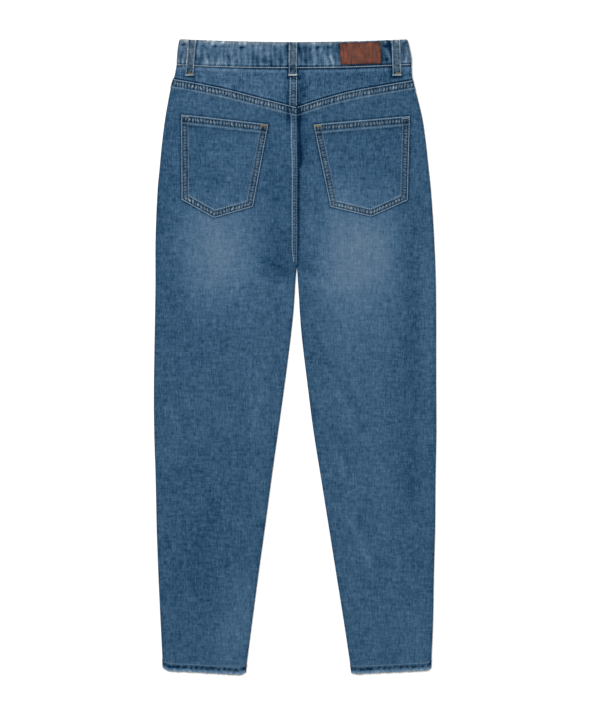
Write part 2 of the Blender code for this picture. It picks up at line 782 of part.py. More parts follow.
def build_zip():
    """The closed zip behind the fly: a flat chain with its slider at the top."""
    sections = []
    drops = [ZIP_TOP, ZIP_TOP + 0.5, ZIP_TOP + SLIDER_LENGTH - 0.5, ZIP_TOP + SLIDER_LENGTH]
    drops += [mix(ZIP_TOP + SLIDER_LENGTH, ZIP_FOOT, k / 5) for k in range(1, 6)]
    for drop in drops:
        low = front_face(drop) + DENIM + SEAM_GAP
        slider = ZIP_TOP + 0.2 < drop < ZIP_TOP + SLIDER_LENGTH - 0.2
        high = low + ZIP_DEPTH
        crown = high + (SLIDER_DEPTH if slider else 0.35)
        middle = centre_x(FRONT, drop) - 8.0
        half, core = ZIP_WIDTH / 2, SLIDER_WIDTH / 2
        y = LENGTH / 2 - drop
        ring = [(-half, low), (-half, high), (-core, high), (-core + 0.6, crown)]
        ring += [(core - 0.6, crown), (core, high), (half, high), (half, low)]
        sections.append([Vector((middle + dx, y, z)) for dx, z in ring])
    loft("zip", sections, "brass")


def main():
    for obj in list(bpy.data.objects):
        bpy.data.objects.remove(obj)
    for side, word in ((LEFT, "left"), (RIGHT, "right")):
        build_back(side, word)
        build_front(side, word)
        build_yoke(side, word)
        build_facing(side, word)
        build_pocket(side, word)
    build_waistband()
    build_patch()
    for loop in LOOPS:
        build_loop(loop)
    build_button()
    build_zip()


main()
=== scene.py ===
"""Looks of a pair of washed denim jeans that lies flat with its back up.

Lengths are in millimetres until a mesh is made, and places in plan are given as x and drop: drop
runs down from the waist's upper corners. The wearer's left is at -X and the waist is towards +Y.
Every cloth piece is a thin wall whose outer face comes from one height function, so that seams,
creases, thread and pockets all follow the same surface.
"""

from __future__ import annotations

import logging
import math
import random
from collections.abc import Callable, Sequence
from dataclasses import dataclass
from enum import Enum

import bpy
import numpy as np
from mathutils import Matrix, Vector, noise

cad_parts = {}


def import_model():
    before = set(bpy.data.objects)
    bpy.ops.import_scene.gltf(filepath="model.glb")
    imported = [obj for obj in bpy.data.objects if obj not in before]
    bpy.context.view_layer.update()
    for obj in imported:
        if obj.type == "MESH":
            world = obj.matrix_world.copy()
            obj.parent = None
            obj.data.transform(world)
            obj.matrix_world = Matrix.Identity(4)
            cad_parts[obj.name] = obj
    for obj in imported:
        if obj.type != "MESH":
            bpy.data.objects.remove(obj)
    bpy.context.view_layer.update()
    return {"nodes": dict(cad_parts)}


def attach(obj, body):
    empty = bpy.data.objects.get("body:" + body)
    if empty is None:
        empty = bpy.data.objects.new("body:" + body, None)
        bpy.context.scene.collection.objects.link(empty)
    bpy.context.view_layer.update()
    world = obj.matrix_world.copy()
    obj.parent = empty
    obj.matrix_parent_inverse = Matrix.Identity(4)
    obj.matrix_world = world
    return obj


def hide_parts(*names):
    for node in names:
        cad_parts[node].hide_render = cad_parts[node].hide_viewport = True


LOG = logging.getLogger("jeans")
MM = 0.001
UP = Vector((0.0, 0.0, 1.0))

Object = bpy.types.Object
Material = bpy.types.Material
Socket = bpy.types.NodeSocket
Colour = tuple[float, float, float, float]
Plan = tuple[float, float]
Spot = tuple[Vector, Vector]
Surface = Callable[[float, float], Spot]
Run = tuple[Sequence[Plan], Surface]


class Side(Enum):
    """The wearer's left or right, as the sign of x."""

    LEFT = -1
    RIGHT = 1


class Face(Enum):
    """The back or the front of the garment, as the sign of z."""

    BACK = 1
    FRONT = -1


LEFT, RIGHT = Side
BACK, FRONT = Face


def smooth(t: float) -> float:
    """Rises from 0 to 1 with level ends while t goes from 0 to 1."""
    t = min(1.0, max(0.0, t))
    return t * t * (3 - 2 * t)


def mix(a: float, b: float, share: float) -> float:
    """The value a given share of the way from a to b."""
    return a + (b - a) * share


def bell(distance: float, width: float) -> float:
    """A soft bump of height 1 that falls away over a width."""
    return math.exp(-((distance / width) ** 2))


def ripple(x: float, y: float = 0.0, seed: float = 0.0) -> float:
    """Smooth noise between about -1 and 1, the same on each run."""
    return noise.noise(Vector((x, y, seed)))


def steps(first: float, last: float, pitch: float) -> list[float]:
    """Even steps from first towards last, without last itself.

    Args:
        first: The value that the steps start from.
        last: The value that they stop short of.
        pitch: The largest step.

    Returns:
        The values, with first among them.
    """
    count = max(1, math.ceil(abs(last - first) / pitch))
    return [mix(first, last, i / count) for i in range(count)]


class Curve:
    """A smooth curve through table rows, kept as close samples."""

    PITCH = 0.5
    MARGIN = 30.0

    def __init__(self, *rows: Plan) -> None:
        """Samples the curve.

        Args:
            rows: The place and the value of each row.
        """
        self.start = rows[0][0] - self.MARGIN
        count = round((rows[-1][0] + self.MARGIN - self.start) / self.PITCH)
        self.samples = [self.through(rows, self.start + i * self.PITCH) for i in range(count)]

    @staticmethod
    def through(rows: Sequence[Plan], at: float) -> float:
        """The cubic curve through the rows, straight on past its ends.

        Args:
            rows: The place and the value of each row.
            at: The place that is asked for.

        Returns:
            The value there.
        """
        slopes = []
        for i in range(len(rows)):
            before = rows[max(i - 1, 0)]
            after = rows[min(i + 1, len(rows) - 1)]
            slopes.append((after[1] - before[1]) / (after[0] - before[0]))
        if at <= rows[0][0]:
            return rows[0][1] + slopes[0] * (at - rows[0][0])
        if at >= rows[-1][0]:
            return rows[-1][1] + slopes[-1] * (at - rows[-1][0])
        i = max(k for k in range(len(rows) - 1) if rows[k][0] <= at)
        span = rows[i + 1][0] - rows[i][0]
        t = (at - rows[i][0]) / span
        near = rows[i][1] * (1 + 2 * t) * (1 - t) ** 2 + slopes[i] * span * t * (1 - t) ** 2
        far = rows[i + 1][1] * t * t * (3 - 2 * t) + slopes[i + 1] * span * t * t * (t - 1)
        return near + far

    def __call__(self, at: float) -> float:
        """The curve's value at a place."""
        place = (at - self.start) / self.PITCH
        i = min(max(int(place), 0), len(self.samples) - 2)
        return mix(self.samples[i], self.samples[i + 1], place - i)


def fan(near_top: Sequence[float], near_foot: Sequence[float], count: int) -> list[Plan]:
    """Rows between an upper and a lower edge, close together at both.

    Args:
        near_top: Distances from the upper edge, rising.
        near_foot: Distances from the lower edge, falling.
        count: The number of even steps between the two.

    Returns:
        For each row the share of the way down and what is added to it.
    """
    rows = [(0.0, step) for step in near_top]
    for i in range(1, count):
        share = i / count
        rows.append((share, near_top[-1] * (1 - share) - near_foot[0] * share))
    return rows + [(1.0, -step) for step in near_foot]


@dataclass(frozen=True)
class Edge:
    """One of the waist's curved edges: its drop at the sides and how much lower its middle is."""

    side: float
    dip: float
    half_width: float

    def drop(self, x: float) -> float:
        """The edge's drop at x."""
        return self.side + self.dip * max(0.0, 1 - (x / self.half_width) ** 2)


@dataclass(frozen=True)
class Hem:
    """A leg's hem: a slanted line with its two corners worn round."""

    outer: float
    inner: float
    corner: float
    inner_corner: float


@dataclass(frozen=True)
class Fold:
    """A soft ridge in the cloth, or a trough where its rise is negative."""

    x0: float
    drop0: float
    x1: float
    drop1: float
    width: float
    rise: float

    def height(self, x: float, drop: float) -> float:
        """The fold's height at a place in plan."""
        if abs(drop - (self.drop0 + self.drop1) / 2) > abs(self.drop1 - self.drop0) / 2 + 3 * self.width:
            return 0.0
        along_x, along_d = self.x1 - self.x0, self.drop1 - self.drop0
        share = ((x - self.x0) * along_x + (drop - self.drop0) * along_d) / (along_x**2 + along_d**2)
        share = min(1.0, max(0.0, share))
        away = math.hypot(x - self.x0 - along_x * share, drop - self.drop0 - along_d * share)
        return self.rise * bell(away, self.width)


@dataclass(frozen=True)
class Fade:
    """A patch of cloth that is washed lighter or darker than the rest."""

    x: float
    drop: float
    half_width: float
    half_length: float
    tone: float

    def at(self, x: float, drop: float) -> float:
        """The change of tone at a place in plan."""
        square = ((x - self.x) / self.half_width) ** 2 + ((drop - self.drop) / self.half_length) ** 2
        return self.tone * math.exp(-square) if square < 9 else 0.0


def table(kind: type, *rows: tuple[float, ...]) -> tuple:
    """One thing of a kind for each row of its numbers."""
    return tuple(kind(*row) for row in rows)


@dataclass(frozen=True)
class Look:
    """What one place on a cloth piece has besides its plain surface.

    height is relief in millimetres, tone the wash from 0, dark, to 1, light, with painted shade
    added to it. rope is how much the seam beside it puckers, along and across are the place in that
    seam, grey takes blue away, and grain is how strongly the yarns show.
    """

    height: float = 0.0
    tone: float = 0.4
    rope: float = 0.0
    grey: float = 0.0
    along: float = 0.0
    across: float = 0.0
    grain: float = 1.0


class Jeans:
    """The garment's cut: its outline, its seams and the heights of its faces."""

    length = 1016.0
    seam_gap = 0.3
    middle_gap = 0.04
    denim = 1.2
    crotch = 364.0
    edge_round = 3.6
    leg_thickness = 5.8
    seat_thickness = 6.2
    panel_lift = 4.0
    lift_ends = 150.0
    band_proud = 0.8
    panel_sag = 0.7
    sag_width = 34.0
    fell_width = 12.5
    yoke_fell = 15.0
    fell_rise = 0.9
    hem_depth = 12.5
    hem_rise = 0.7
    slope = 1.1
    crease_depth = 1.3
    crease_width = 11.0
    hem_fade = 150.0
    scoop_width = 95.0
    scoop_depth = 75.0
    yoke_middle = 108.0
    yoke_side = {LEFT: 62.8, RIGHT: 64.6}
    yoke_seam = {
        LEFT: Curve((-196, 62.8), (-152, 70.5), (-104, 80.8), (-56, 93.2), (3, 108.0)),
        RIGHT: Curve((3, 108.0), (40, 95.8), (88, 82.9), (136, 74.0), (191, 64.6)),
    }
    band_top = {BACK: Edge(0.0, 4.8, 187.0), FRONT: Edge(0.0, 9.6, 187.0)}
    band_foot = {BACK: Edge(42.0, 5.4, 190.0), FRONT: Edge(42.0, 12.0, 190.0)}
    hems = {LEFT: Hem(1009.0, 1016.0, 5.0, 4.2), RIGHT: Hem(1008.5, 1014.6, 4.0, 1.4)}
    hem_corner_share = 0.09
    side_seam = {
        LEFT: Curve(
            (0, 184.6), (13, 187.2), (32, 188.9), (51, 190.4), (70, 196.4), (90, 201.0),
            (128, 207.8), (166, 212.6), (205, 216.4), (243, 219.9), (320, 223.0), (397, 223.2),
            (550, 225.6), (627, 225.2), (704, 222.8), (781, 221.2), (858, 218.4), (934, 214.8),
            (1016, 210.6),
        ),
        RIGHT: Curve(
            (0, 179.6), (13, 182.8), (32, 186.2), (51, 186.0), (70, 188.9), (90, 194.7),
            (128, 203.8), (166, 209.2), (205, 213.5), (243, 217.4), (320, 222.5), (397, 225.2),
            (550, 225.6), (627, 225.9), (704, 224.6), (781, 223.9), (858, 221.9), (934, 220.5),
            (1016, 216.8),
        ),
    }  # fmt: skip
    inseam = {
        LEFT: Curve(
            (364, 2.8), (374, 1.5), (390, 0.3), (410, -0.9), (434, -2.6), (474, -6.8), (550, -16.5),
            (627, -27.2), (704, -38.0), (781, -48.3), (858, -59.0), (934, -69.0), (1016, -79.6),
        ),
        RIGHT: Curve(
            (364, 2.8), (374, 3.8), (390, 4.8), (410, 6.2), (434, 7.5), (474, 10.6), (550, 19.7),
            (627, 29.6), (704, 41.9), (781, 54.2), (858, 66.4), (934, 78.5), (1016, 90.8),
        ),
    }  # fmt: skip
    centre = {
        BACK: Curve((0, 3.5), (64, 3.6), (150, 2.6), (210, 4.2), (260, 3.9), (320, 3.9), (364, 2.8)),
        FRONT: Curve((0, 9.0), (165, 8.6), (225, 3.4), (364, 2.8)),
    }
    folds = table(
        Fold,
        (36, 512, 84, 580, 15, 0.35), (100, 620, 148, 712, 17, 0.35), (92, 768, 124, 852, 15, 0.30),
        (-28, 470, -62, 640, 20, 0.30), (-196, 560, -176, 680, 16, 0.30),
        (-120, 820, -96, 930, 18, 0.25), (196, 430, 188, 640, 16, 0.30), (-60, 372, -10, 356, 14, 0.35),
    )
    creases = table(
        Fold,
        (52, 528, 88, 602, 5, 0.55), (30, 470, 66, 556, 6, -0.35), (112, 634, 142, 690, 5, 0.45),
        (84, 560, 118, 640, 7, -0.30), (90, 770, 124, 850, 5, 0.45), (104, 762, 138, 836, 6, -0.30),
        (146, 700, 172, 748, 5, 0.35), (60, 640, 84, 704, 6, 0.30), (-200, 586, -184, 626, 5, 0.40),
        (-88, 450, -112, 512, 6, 0.40), (-150, 690, -128, 760, 6, -0.35), (-52, 560, -70, 640, 6, 0.35),
        (-180, 800, -160, 880, 7, -0.30), (-24, 398, -60, 384, 6, 0.45), (-14, 372, -48, 352, 6, -0.55),
        (20, 384, 58, 400, 6, 0.40), (16, 362, 44, 376, 6, -0.40), (-120, 930, -110, 990, 6, 0.30),
        (120, 920, 128, 985, 6, 0.30), (-14, 240, -20, 300, 7, 0.35), (22, 210, 26, 300, 7, 0.30),
    )

    def side_x(self, side: Side, drop: float) -> float:
        """The outline's x at a side seam."""
        return side.value * self.side_seam[side](drop)

    def inner_x(self, side: Side, face: Face, drop: float) -> float:
        """Where a panel ends towards the middle: the centre seam, and below it the inseam."""
        line = self.centre[face] if drop < self.crotch else self.inseam[side]
        return line(drop) + side.value * self.middle_gap / 2

    def yoke_drop(self, x: float) -> float:
        """The yoke seam's drop at x."""
        side = RIGHT if x > self.centre[BACK](self.yoke_middle) else LEFT
        return self.yoke_seam[side](x)

    def hem_drop(self, side: Side, x: float) -> float:
        """A hem's drop at x."""
        hem = self.hems[side]
        outer = self.side_x(side, hem.outer)
        inner = self.inner_x(side, BACK, hem.inner)
        share = min(1.0, max(0.0, (x - outer) / (inner - outer)))
        corner = hem.corner * max(0.0, 1 - share / self.hem_corner_share) ** 2
        corner += hem.inner_corner * max(0.0, 1 - (1 - share) / self.hem_corner_share) ** 2
        worn = 0.7 * ripple(x / 9, 0, 77.0) + 0.5 * ripple(x / 3.2, 0, 78.0)
        return mix(hem.outer, hem.inner, share) - corner + worn

    def seat_width(self, drop: float) -> float:
        """Width of the seat seam's band, which narrows below the yoke and again at the crotch."""
        width = mix(self.fell_width, 9.6, smooth((drop - 112) / 20))
        return mix(width, 6.5, smooth((drop - 330) / 30))

    def front_face(self, drop: float) -> float:
        """Height of the front panels' lower face."""
        start = self.band_foot[BACK].side
        return self.panel_lift * (1 - smooth((drop - start) / (self.lift_ends - start)))

    def back_face(self, drop: float) -> float:
        """Height of the back panels' upper face, next to the side seams."""
        start = self.band_foot[BACK].side
        share = smooth((drop - start) / (self.lift_ends - start))
        return self.front_face(drop) + mix(self.seat_thickness, self.leg_thickness, share)

    def band_face(self, face: Face) -> float:
        """Height of the waistband's outer face."""
        drop = self.band_foot[BACK].side
        if face is BACK:
            return self.back_face(drop) + self.band_proud
        return self.front_face(drop) - self.band_proud

    def crease(self, x: float, drop: float) -> float:
        """Depth of the fold beside the seat seam, where the right panel dips."""
        aside = x - self.centre[BACK](drop)
        if aside < 0:
            return 0.0
        length = smooth((drop - 150) / 30) * smooth((self.crotch - 8 - drop) / 30)
        return self.crease_depth * length * (1 - smooth(aside / self.crease_width))

    def undulation(self, x: float, drop: float) -> float:
        """The unevenness of the back that is not drawn one fold at a time."""
        total = sum(fold.height(x, drop) for fold in self.creases)
        total += 0.30 * ripple(x / 34, drop / 75, 3.1)
        total += 0.10 * ripple(x / 10, drop / 19, 8.4)
        return total

    def sag(self, x: float, drop: float, aside: float) -> float:
        """How far the back lies under its edges' height, at a distance from the nearest edge."""
        settled = self.panel_sag * smooth((aside - self.edge_round) / self.sag_width)
        settled *= smooth((drop - 60) / 90)
        raised = sum(fold.height(x, drop) for fold in self.folds) + self.undulation(x, drop)
        return settled - raised * smooth(aside / 12) + self.crease(x, drop)

    def edges(self, side: Side, face: Face, x: float, drop: float) -> tuple[float, Vector, float, Vector]:
        """The distances to the side seam and to the inseam, each with the way out."""
        out = side.value * (self.side_x(side, drop) - x)
        line = self.side_seam[side]
        slope = line(drop + 1) - line(drop - 1)
        out_way = Vector((side.value, slope / 2, 0)).normalized()
        inner = self.inner_x(side, face, drop)
        if drop >= self.crotch:
            return out, out_way, side.value * (x - inner), Vector((-side.value, 0, 0))
        way = Vector((inner - x, drop - self.crotch, 0))
        if way.length < 1e-6:
            return out, out_way, 0.0, Vector((0, -1, 0))
        return out, out_way, way.length, way.normalized()

    def skin(self, side: Side, face: Face, x: float, drop: float, inset: float = 0.0) -> Spot:
        """A panel's plain outer face at one place in plan.

        Args:
            side: The leg.
            face: The back or the front.
            x: The place across.
            drop: The place down the garment.
            inset: How far the face lies inside that of the outer panels.

        Returns:
            The point and the outward normal.
        """
        out, out_way, into, in_way = self.edges(side, face, x, drop)
        near = [(max(0.0, 1 - d / self.edge_round), way) for d, way in ((out, out_way), (into, in_way))]
        rise = math.prod(math.sqrt(max(0.0, 1 - c * c)) for c, _ in near)
        low, high = self.front_face(drop), self.back_face(drop)
        half = (high - low) / 2 - inset
        height = (low + high) / 2 + face.value * (self.seam_gap / 2 + (half - self.seam_gap / 2) * rise)
        if face is BACK:
            aside = min(out, into) if drop > self.crotch else min(out, into + self.edge_round)
            height -= self.sag(x, drop, aside) * rise
        normal = Vector((0, 0, face.value * rise / half))
        for share, way in near:
            normal += way * (share / self.edge_round)
        return Vector((x, self.length / 2 - drop, height)), normal.normalized()

    def columns(self, side: Side, face: Face, drop: float, fine: float, edge_in: float = 0.0) -> list[float]:
        """A row's x values from the outer edge to the middle, close together at both edges."""
        outer = self.side_x(side, drop) - side.value * edge_in
        inner = self.inner_x(side, face, drop)
        sign = side.value
        angles = range(0, 91, 15) if face is BACK else range(0, 91, 30)
        rounds = [self.edge_round * (1 - math.cos(math.radians(a))) for a in angles]
        if face is BACK:
            band = [self.fell_width + self.slope + 1.5, self.fell_width + self.slope, self.fell_width]
            band += steps(self.fell_width - 0.8, self.edge_round, 0.95)
        else:
            band = [self.fell_width]
        first, last = outer - sign * self.edge_round, inner + sign * band[0]
        count = round(190 / fine)
        row = [outer - sign * step for step in rounds]
        row += [mix(first, last, (i + 1) / (count + 1)) for i in range(count)]
        row += [inner + sign * step for step in (*band, *reversed(rounds))]
        return row


JEANS = Jeans()


@dataclass(frozen=True)
class Outline:
    """A convex outline in plan, whose corners run round it clockwise as seen from above."""

    corners: tuple[Plan, ...]

    def distances(self, x: float, drop: float) -> list[float]:
        """The distance inwards from the line of each edge, negative outside."""
        found = []
        for (x0, d0), (x1, d1) in zip(self.corners, self.corners[1:] + self.corners[:1]):
            length = math.hypot(x1 - x0, d1 - d0)
            found.append(((x1 - x0) * (drop - d0) - (d1 - d0) * (x - x0)) / length)
        return found

    def inset(self, amounts: Sequence[float]) -> list[Plan]:
        """The corners of the outline with each edge moved inwards by its own amount."""
        lines = []
        for ((x0, d0), (x1, d1)), amount in zip(
            zip(self.corners, self.corners[1:] + self.corners[:1]), amounts
        ):
            length = math.hypot(x1 - x0, d1 - d0)
            way = ((x1 - x0) / length, (d1 - d0) / length)
            lines.append((x0 - way[1] * amount, d0 + way[0] * amount, *way))
        corners = []
        for (ax, ad, aw, av), (bx, bd, bw, bv) in zip(lines[-1:] + lines[:-1], lines):
            cross = aw * bv - av * bw
            t = ((bx - ax) * bv - (bd - ad) * bw) / cross
            corners.append((ax + aw * t, ad + av * t))
        return corners


POCKETS = {
    LEFT: Outline(
        ((-182.5, 119.8), (-42.1, 135.8), (-66.9, 268.1), (-129.6, 286.1), (-181.5, 256.7))
    ),
    RIGHT: Outline(
        ((29.0, 136.0), (184.0, 122.5), (180.5, 257.7), (122.0, 284.0), (56.5, 268.2))
    ),
}
PATCH = Outline(((71.0, 6.8), (136.5, 4.8), (138.4, 39.6), (72.8, 41.6)))
LOOP_FOOT = 60.0


def shadow(distance: float, depth: float, width: float) -> float:
    """The darkening beside an edge that lies on the cloth, at a distance outside it."""
    return -depth * math.exp(-max(0.0, distance) / width)


@dataclass(frozen=True)
class LoopPlace:
    """Where a belt loop lies, the depth of its painted shade on its left and right side and across its
    crease.
    """

    top: float
    foot: float
    width: float
    left: float = 0.0
    right: float = 0.0
    crease: float = 0.0

    def shade(self, x: float, drop: float) -> float:
        """Painted shade beside the loop, deepest near its foot; the cloth there is also unfaded."""
        aside = x - mix(self.top, self.foot, drop / LOOP_FOOT)
        away = max(abs(aside) - self.width / 2, drop - LOOP_FOOT)
        depth = self.left if aside < 0 else self.right
        # The painted shade deepens towards the loop's foot.
        depth = mix(depth, max(depth, 0.45), smooth((drop - LOOP_FOOT + 8) / 6))
        return shadow(away, depth, 1.9) if -1 < away < 20 else 0.0


BACK_LOOPS = (
    LoopPlace(-3.3, -3.4, 13.4, 0.85, 0.45, 0.18),
    LoopPlace(-164.5, -168.7, 13.0, 0.06, 0.42, 0.04),
    LoopPlace(160.8, 163.0, 13.8, 0.85, 0.08),
)


@dataclass(frozen=True)
class BackWashAndShade:
    """Relief, wash, wear and painted shade of the back: legs, yokes and what the seams do to them."""

    base: float = 0.314
    fades: tuple[Fade, ...] = table(
        Fade,
        (-125, 337, 66, 92, 0.205), (99, 345, 78, 100, 0.225), (-130, 104, 90, 24, 0.03),
        (110, 100, 80, 24, 0.02), (110, 62, 90, 16, -0.07), (-100, 62, 80, 14, 0.02),
        (-130, 800, 70, 130, -0.03), (-150, 850, 45, 100, -0.035), (-92, 925, 34, 80, 0.08),
        (187, 569, 15, 150, -0.05), (-32, 361, 26, 34, -0.09), (24, 350, 22, 40, -0.07),
        (120, 560, 80, 150, 0.05), (130, 800, 70, 130, 0.02), (-60, 500, 50, 120, 0.02),
        (214, 420, 14, 120, 0.05), (186, 330, 20, 120, -0.07), (-207, 265, 22, 95, -0.05),
        (-22, 290, 26, 75, -0.075), (-108, 470, 60, 30, -0.05), (24, 570, 14, 50, -0.04),
        (72, 655, 30, 40, -0.04), (180, 700, 24, 60, -0.05), (-1, 120, 12, 15, -0.06),
        (-10.5, 118, 4, 14, -0.30), (6, 118, 4, 14, -0.28), (24, 250, 16, 55, -0.07),
        (28, 430, 22, 40, -0.04), (168, 400, 26, 120, -0.03), (200, 960, 26, 50, 0.06),
        (-190, 400, 30, 60, -0.04), (-8, 90, 9, 13, -0.16), (14, 90, 9, 13, -0.12),
        (150, 560, 30, 120, -0.03),
    )

    def ladder(self, aside: float, width: float, lap: float, along: float, seed: float) -> Look:
        """A felled seam's band, whose puckers wear into rungs between its two stitched rows.

        Args:
            aside: Distance from the band's lapped edge.
            width: The band's width.
            lap: Distance of the first row from that edge.
            along: Distance along the seam.
            seed: Sets this seam's puckers apart from others.

        Returns:
            The band's look, plain beyond its width.
        """
        inside = smooth((aside + 0.6) / 1.2) * (1 - smooth((aside - width + 0.2) / 1.2))
        near, far = lap + 0.145 * width, 0.70 * width
        rungs = smooth((aside - near + 1.3) / 1.6) * (1 - smooth((aside - far + 0.2) / 1.5)) * inside
        bar = ripple(along / 5.2, aside / 9, seed) + 0.5 * ripple(along / 2.4, aside / 5, seed + 4)
        height = JEANS.fell_rise * mix(0.5, 1.0, smooth(aside / 1.4))
        height *= 1 - smooth((aside - width) / JEANS.slope)
        height -= 0.24 * (bell(aside - near, 1.1) + bell(aside - far, 1.2)) * inside
        height += 0.32 * bar * rungs
        worn = 1 + 0.9 * ripple(along / 8, aside / 8, seed + 7)
        tone = 0.20 * bell(aside - lap, 0.9) * worn + 0.18 * bell(aside - 0.9 * width, 1.9) * worn
        tone += 0.09 * bell(aside - 0.46 * width, 0.2 * width)
        tone -= 0.24 * bell(aside - near, 1.2) + 0.19 * bell(aside - far, 1.1)
        tone += 0.10 * bar * inside
        grey = 0.48 * rungs + 0.16 * inside
        return Look(height, (tone - 0.015) * inside, 0.86 * rungs, grey, along, aside / width)

    def hem(self, above: float, x: float, seed: float) -> Look:
        """A turned hem, measured up from its edge: dark hollows above a worn, light edge."""
        inside = 1 - smooth((above - JEANS.hem_depth + 0.4) / 1.4)
        bar = ripple(x / 7.5 + above * 0.06, above / 9, seed) + 0.4 * ripple(x / 3.1, above / 5, seed + 5)
        height = JEANS.hem_rise * (1 - smooth((above - JEANS.hem_depth) / JEANS.slope))
        height -= 0.35 * (1 - smooth(above / 1.1)) + 0.2 * bell(above - 9.8, 1.0)
        hollow = bell(above - 6.8, 2.3)
        height += (0.34 * bar - 0.15) * hollow
        worn = 0.75 + 0.5 * ripple(x / 5, 0, seed + 2) + 0.35 * ripple(x / 1.9, above / 3, seed + 3)
        tone = 0.50 * (1 - smooth(above / 6.3)) * worn - 0.13 * hollow + 0.05 * bell(above - 11.8, 1.2)
        tone -= 0.14 * bell(above - 7.2, 1.5)
        tone += 0.48 * min(bar, 0.2) * hollow
        return Look(height, tone, 0.5 * hollow, 0.35 * hollow, x * 0.55, above / JEANS.hem_depth)

    def tone(self, side: Side, x: float, drop: float) -> float:
        """The wash of the cloth between the seams, with painted shade along the outline's edges."""
        total = self.base + sum(fade.at(x, drop) for fade in self.fades)
        total += 0.035 * ripple(x / 26, drop / 44, 1.7) + 0.035 * ripple(x / 8, drop / 19, 5.2)
        out, _, into, _ = JEANS.edges(side, BACK, x, drop)
        # Painted shade where the cloth rounds down at the side seam and at the inner edge.
        total += shadow(out, 0.09, 2.2) + shadow(out, 0.02, 12)
        total += shadow(into, 0.08, 2.2) + shadow(into, 0.01, 9)
        for crease in JEANS.creases:
            total += 0.13 * crease.height(x, drop)
        return total

    def shadows(self, x: float, drop: float) -> float:
        """Painted shade, partly unfaded cloth, in lines beside what lies on the panels."""
        total = 0.0
        for pocket in POCKETS.values():
            outside = -min(pocket.distances(x, drop))
            if -1 < outside < 9:
                # Painted shadow just outside each back pocket's edges.
                total += shadow(outside, 0.38, 1.1)
        # Painted shade beside the belt loops.
        total += sum(place.shade(x, drop) for place in BACK_LOOPS)
        under = drop - JEANS.band_foot[BACK].drop(x)
        inner = smooth((x + 150) / 120)
        # Painted shadow under the waistband's foot, with a lighter band below it.
        total -= mix(0.18, 0.62, inner) * bell(under - 0.4, 1.0)
        return total + mix(0.17, 0.12, inner) * bell(under - 4.6, 2.2)

    def seat(self, side: Side, aside: float, drop: float) -> float:
        """The painted shade of the fold beside the seat seam, on either side of its edge."""
        low = smooth((drop - 194) / 14)
        ends = 1 - smooth((drop - 300) / 60)
        if side is LEFT:
            upper = 0.06 * smooth((drop - 130) / 20)
            return -mix(upper, 0.20, low) * bell(aside, mix(1.4, 2.0, low)) * mix(0.6, 1.0, ends)
        if drop < JEANS.yoke_middle:
            return -0.80 * bell(aside - 0.1, 1.1) - 0.10 * bell(aside - 6, 8)
        deep = mix(0.28, 0.29, smooth((drop - 140) / 30)) * mix(0.7, 1.0, ends)
        spread = mix(mix(2.4, 5.0, smooth((drop - 150) / 30)), 3.2, low)
        return -deep * bell(aside - mix(4.6, 0.8, low), spread) - 0.08 * bell(aside, 20) * (1 - low)

    def look(self, side: Side, x: float, drop: float) -> Look:
        """All that the back shows at a place in plan, yokes included."""
        tone = self.tone(side, x, drop) + self.shadows(x, drop)
        worn_grey = 0.30 * smooth((tone - 0.38) / 0.2)
        below_yoke = drop - JEANS.yoke_drop(x)
        aside = abs(x - JEANS.inner_x(side, BACK, min(drop, JEANS.crotch - 0.1)))
        width = JEANS.seat_width(drop)
        found = Look(0.0, 0.0)
        if -0.5 < below_yoke < JEANS.yoke_fell + 3:
            found = self.ladder(below_yoke, JEANS.yoke_fell + 1, 1.9, x * 1.03, 2.0 + side.value)
        if side is LEFT and aside < width + 3 and drop < JEANS.crotch and found.height < 0.3:
            seam = self.ladder(aside, width, 0.9, drop, 6.0)
            ends = smooth((JEANS.crotch - 6 - drop) / 12)
            worn = mix(0.62, 0.4, smooth((drop - 112) / 20))
            plain = smooth((aside - 0.5) / 1.5) * smooth((width - aside) / 1.5)
            tones = seam.tone * worn + mix(0.07, 0.02, smooth((drop - 200) / 40)) * plain * (1 - worn)
            rope, grey = seam.rope * ends * worn, seam.grey * worn
            found = Look(seam.height * ends, tones, rope, grey, seam.along, seam.across)
            ridge = mix(0.20, 0.10, smooth((drop - 200) / 40)) * (1 - worn)
            tone += ridge * bell(aside - width * 0.88, 1.7) * (1 - smooth((drop - 300) / 60))
        above_hem = JEANS.hem_drop(side, x) - drop
        if above_hem < JEANS.hem_depth + 3:
            found = self.hem(above_hem, x, 9.0 + side.value)
        tone += found.tone
        if below_yoke < 0:
            # Painted shade on the yoke just above the lapped band of the yoke seam, partly unfaded cloth.
            dark = 0.42 if side is LEFT else 0.52
            tone += 0.04 - dark * bell(below_yoke + 0.1, 1.3) + 0.08 * bell(below_yoke + 3.4, 1.2)
            # Painted shade on the yoke beside the seat seam's band.
            if side is LEFT:
                tone += shadow(aside - width, 0.20, 3.0) * (aside > width)
        else:
            # Painted shade along the band's lapped upper edge, under the yoke seam.
            tone -= 0.30 * (1 - smooth(below_yoke / 1.3))
            # Painted shade beside the seat seam's band.
            if side is LEFT and drop < JEANS.crotch:
                tone += shadow(aside - width, 0.14, 1.8) * (aside > width)
        # Painted shade of the fold beside the seat seam.
        if drop < JEANS.crotch:
            tone += self.seat(side, aside, drop)
        grain = 1 + 0.15 * (1 - smooth((drop - 120) / 130)) - 0.25 * smooth((tone - 0.4) / 0.15)
        grey = found.grey + worn_grey
        return Look(found.height, tone, found.rope, grey, found.along, found.across, grain)


BACK_WASH_AND_SHADE = BackWashAndShade()


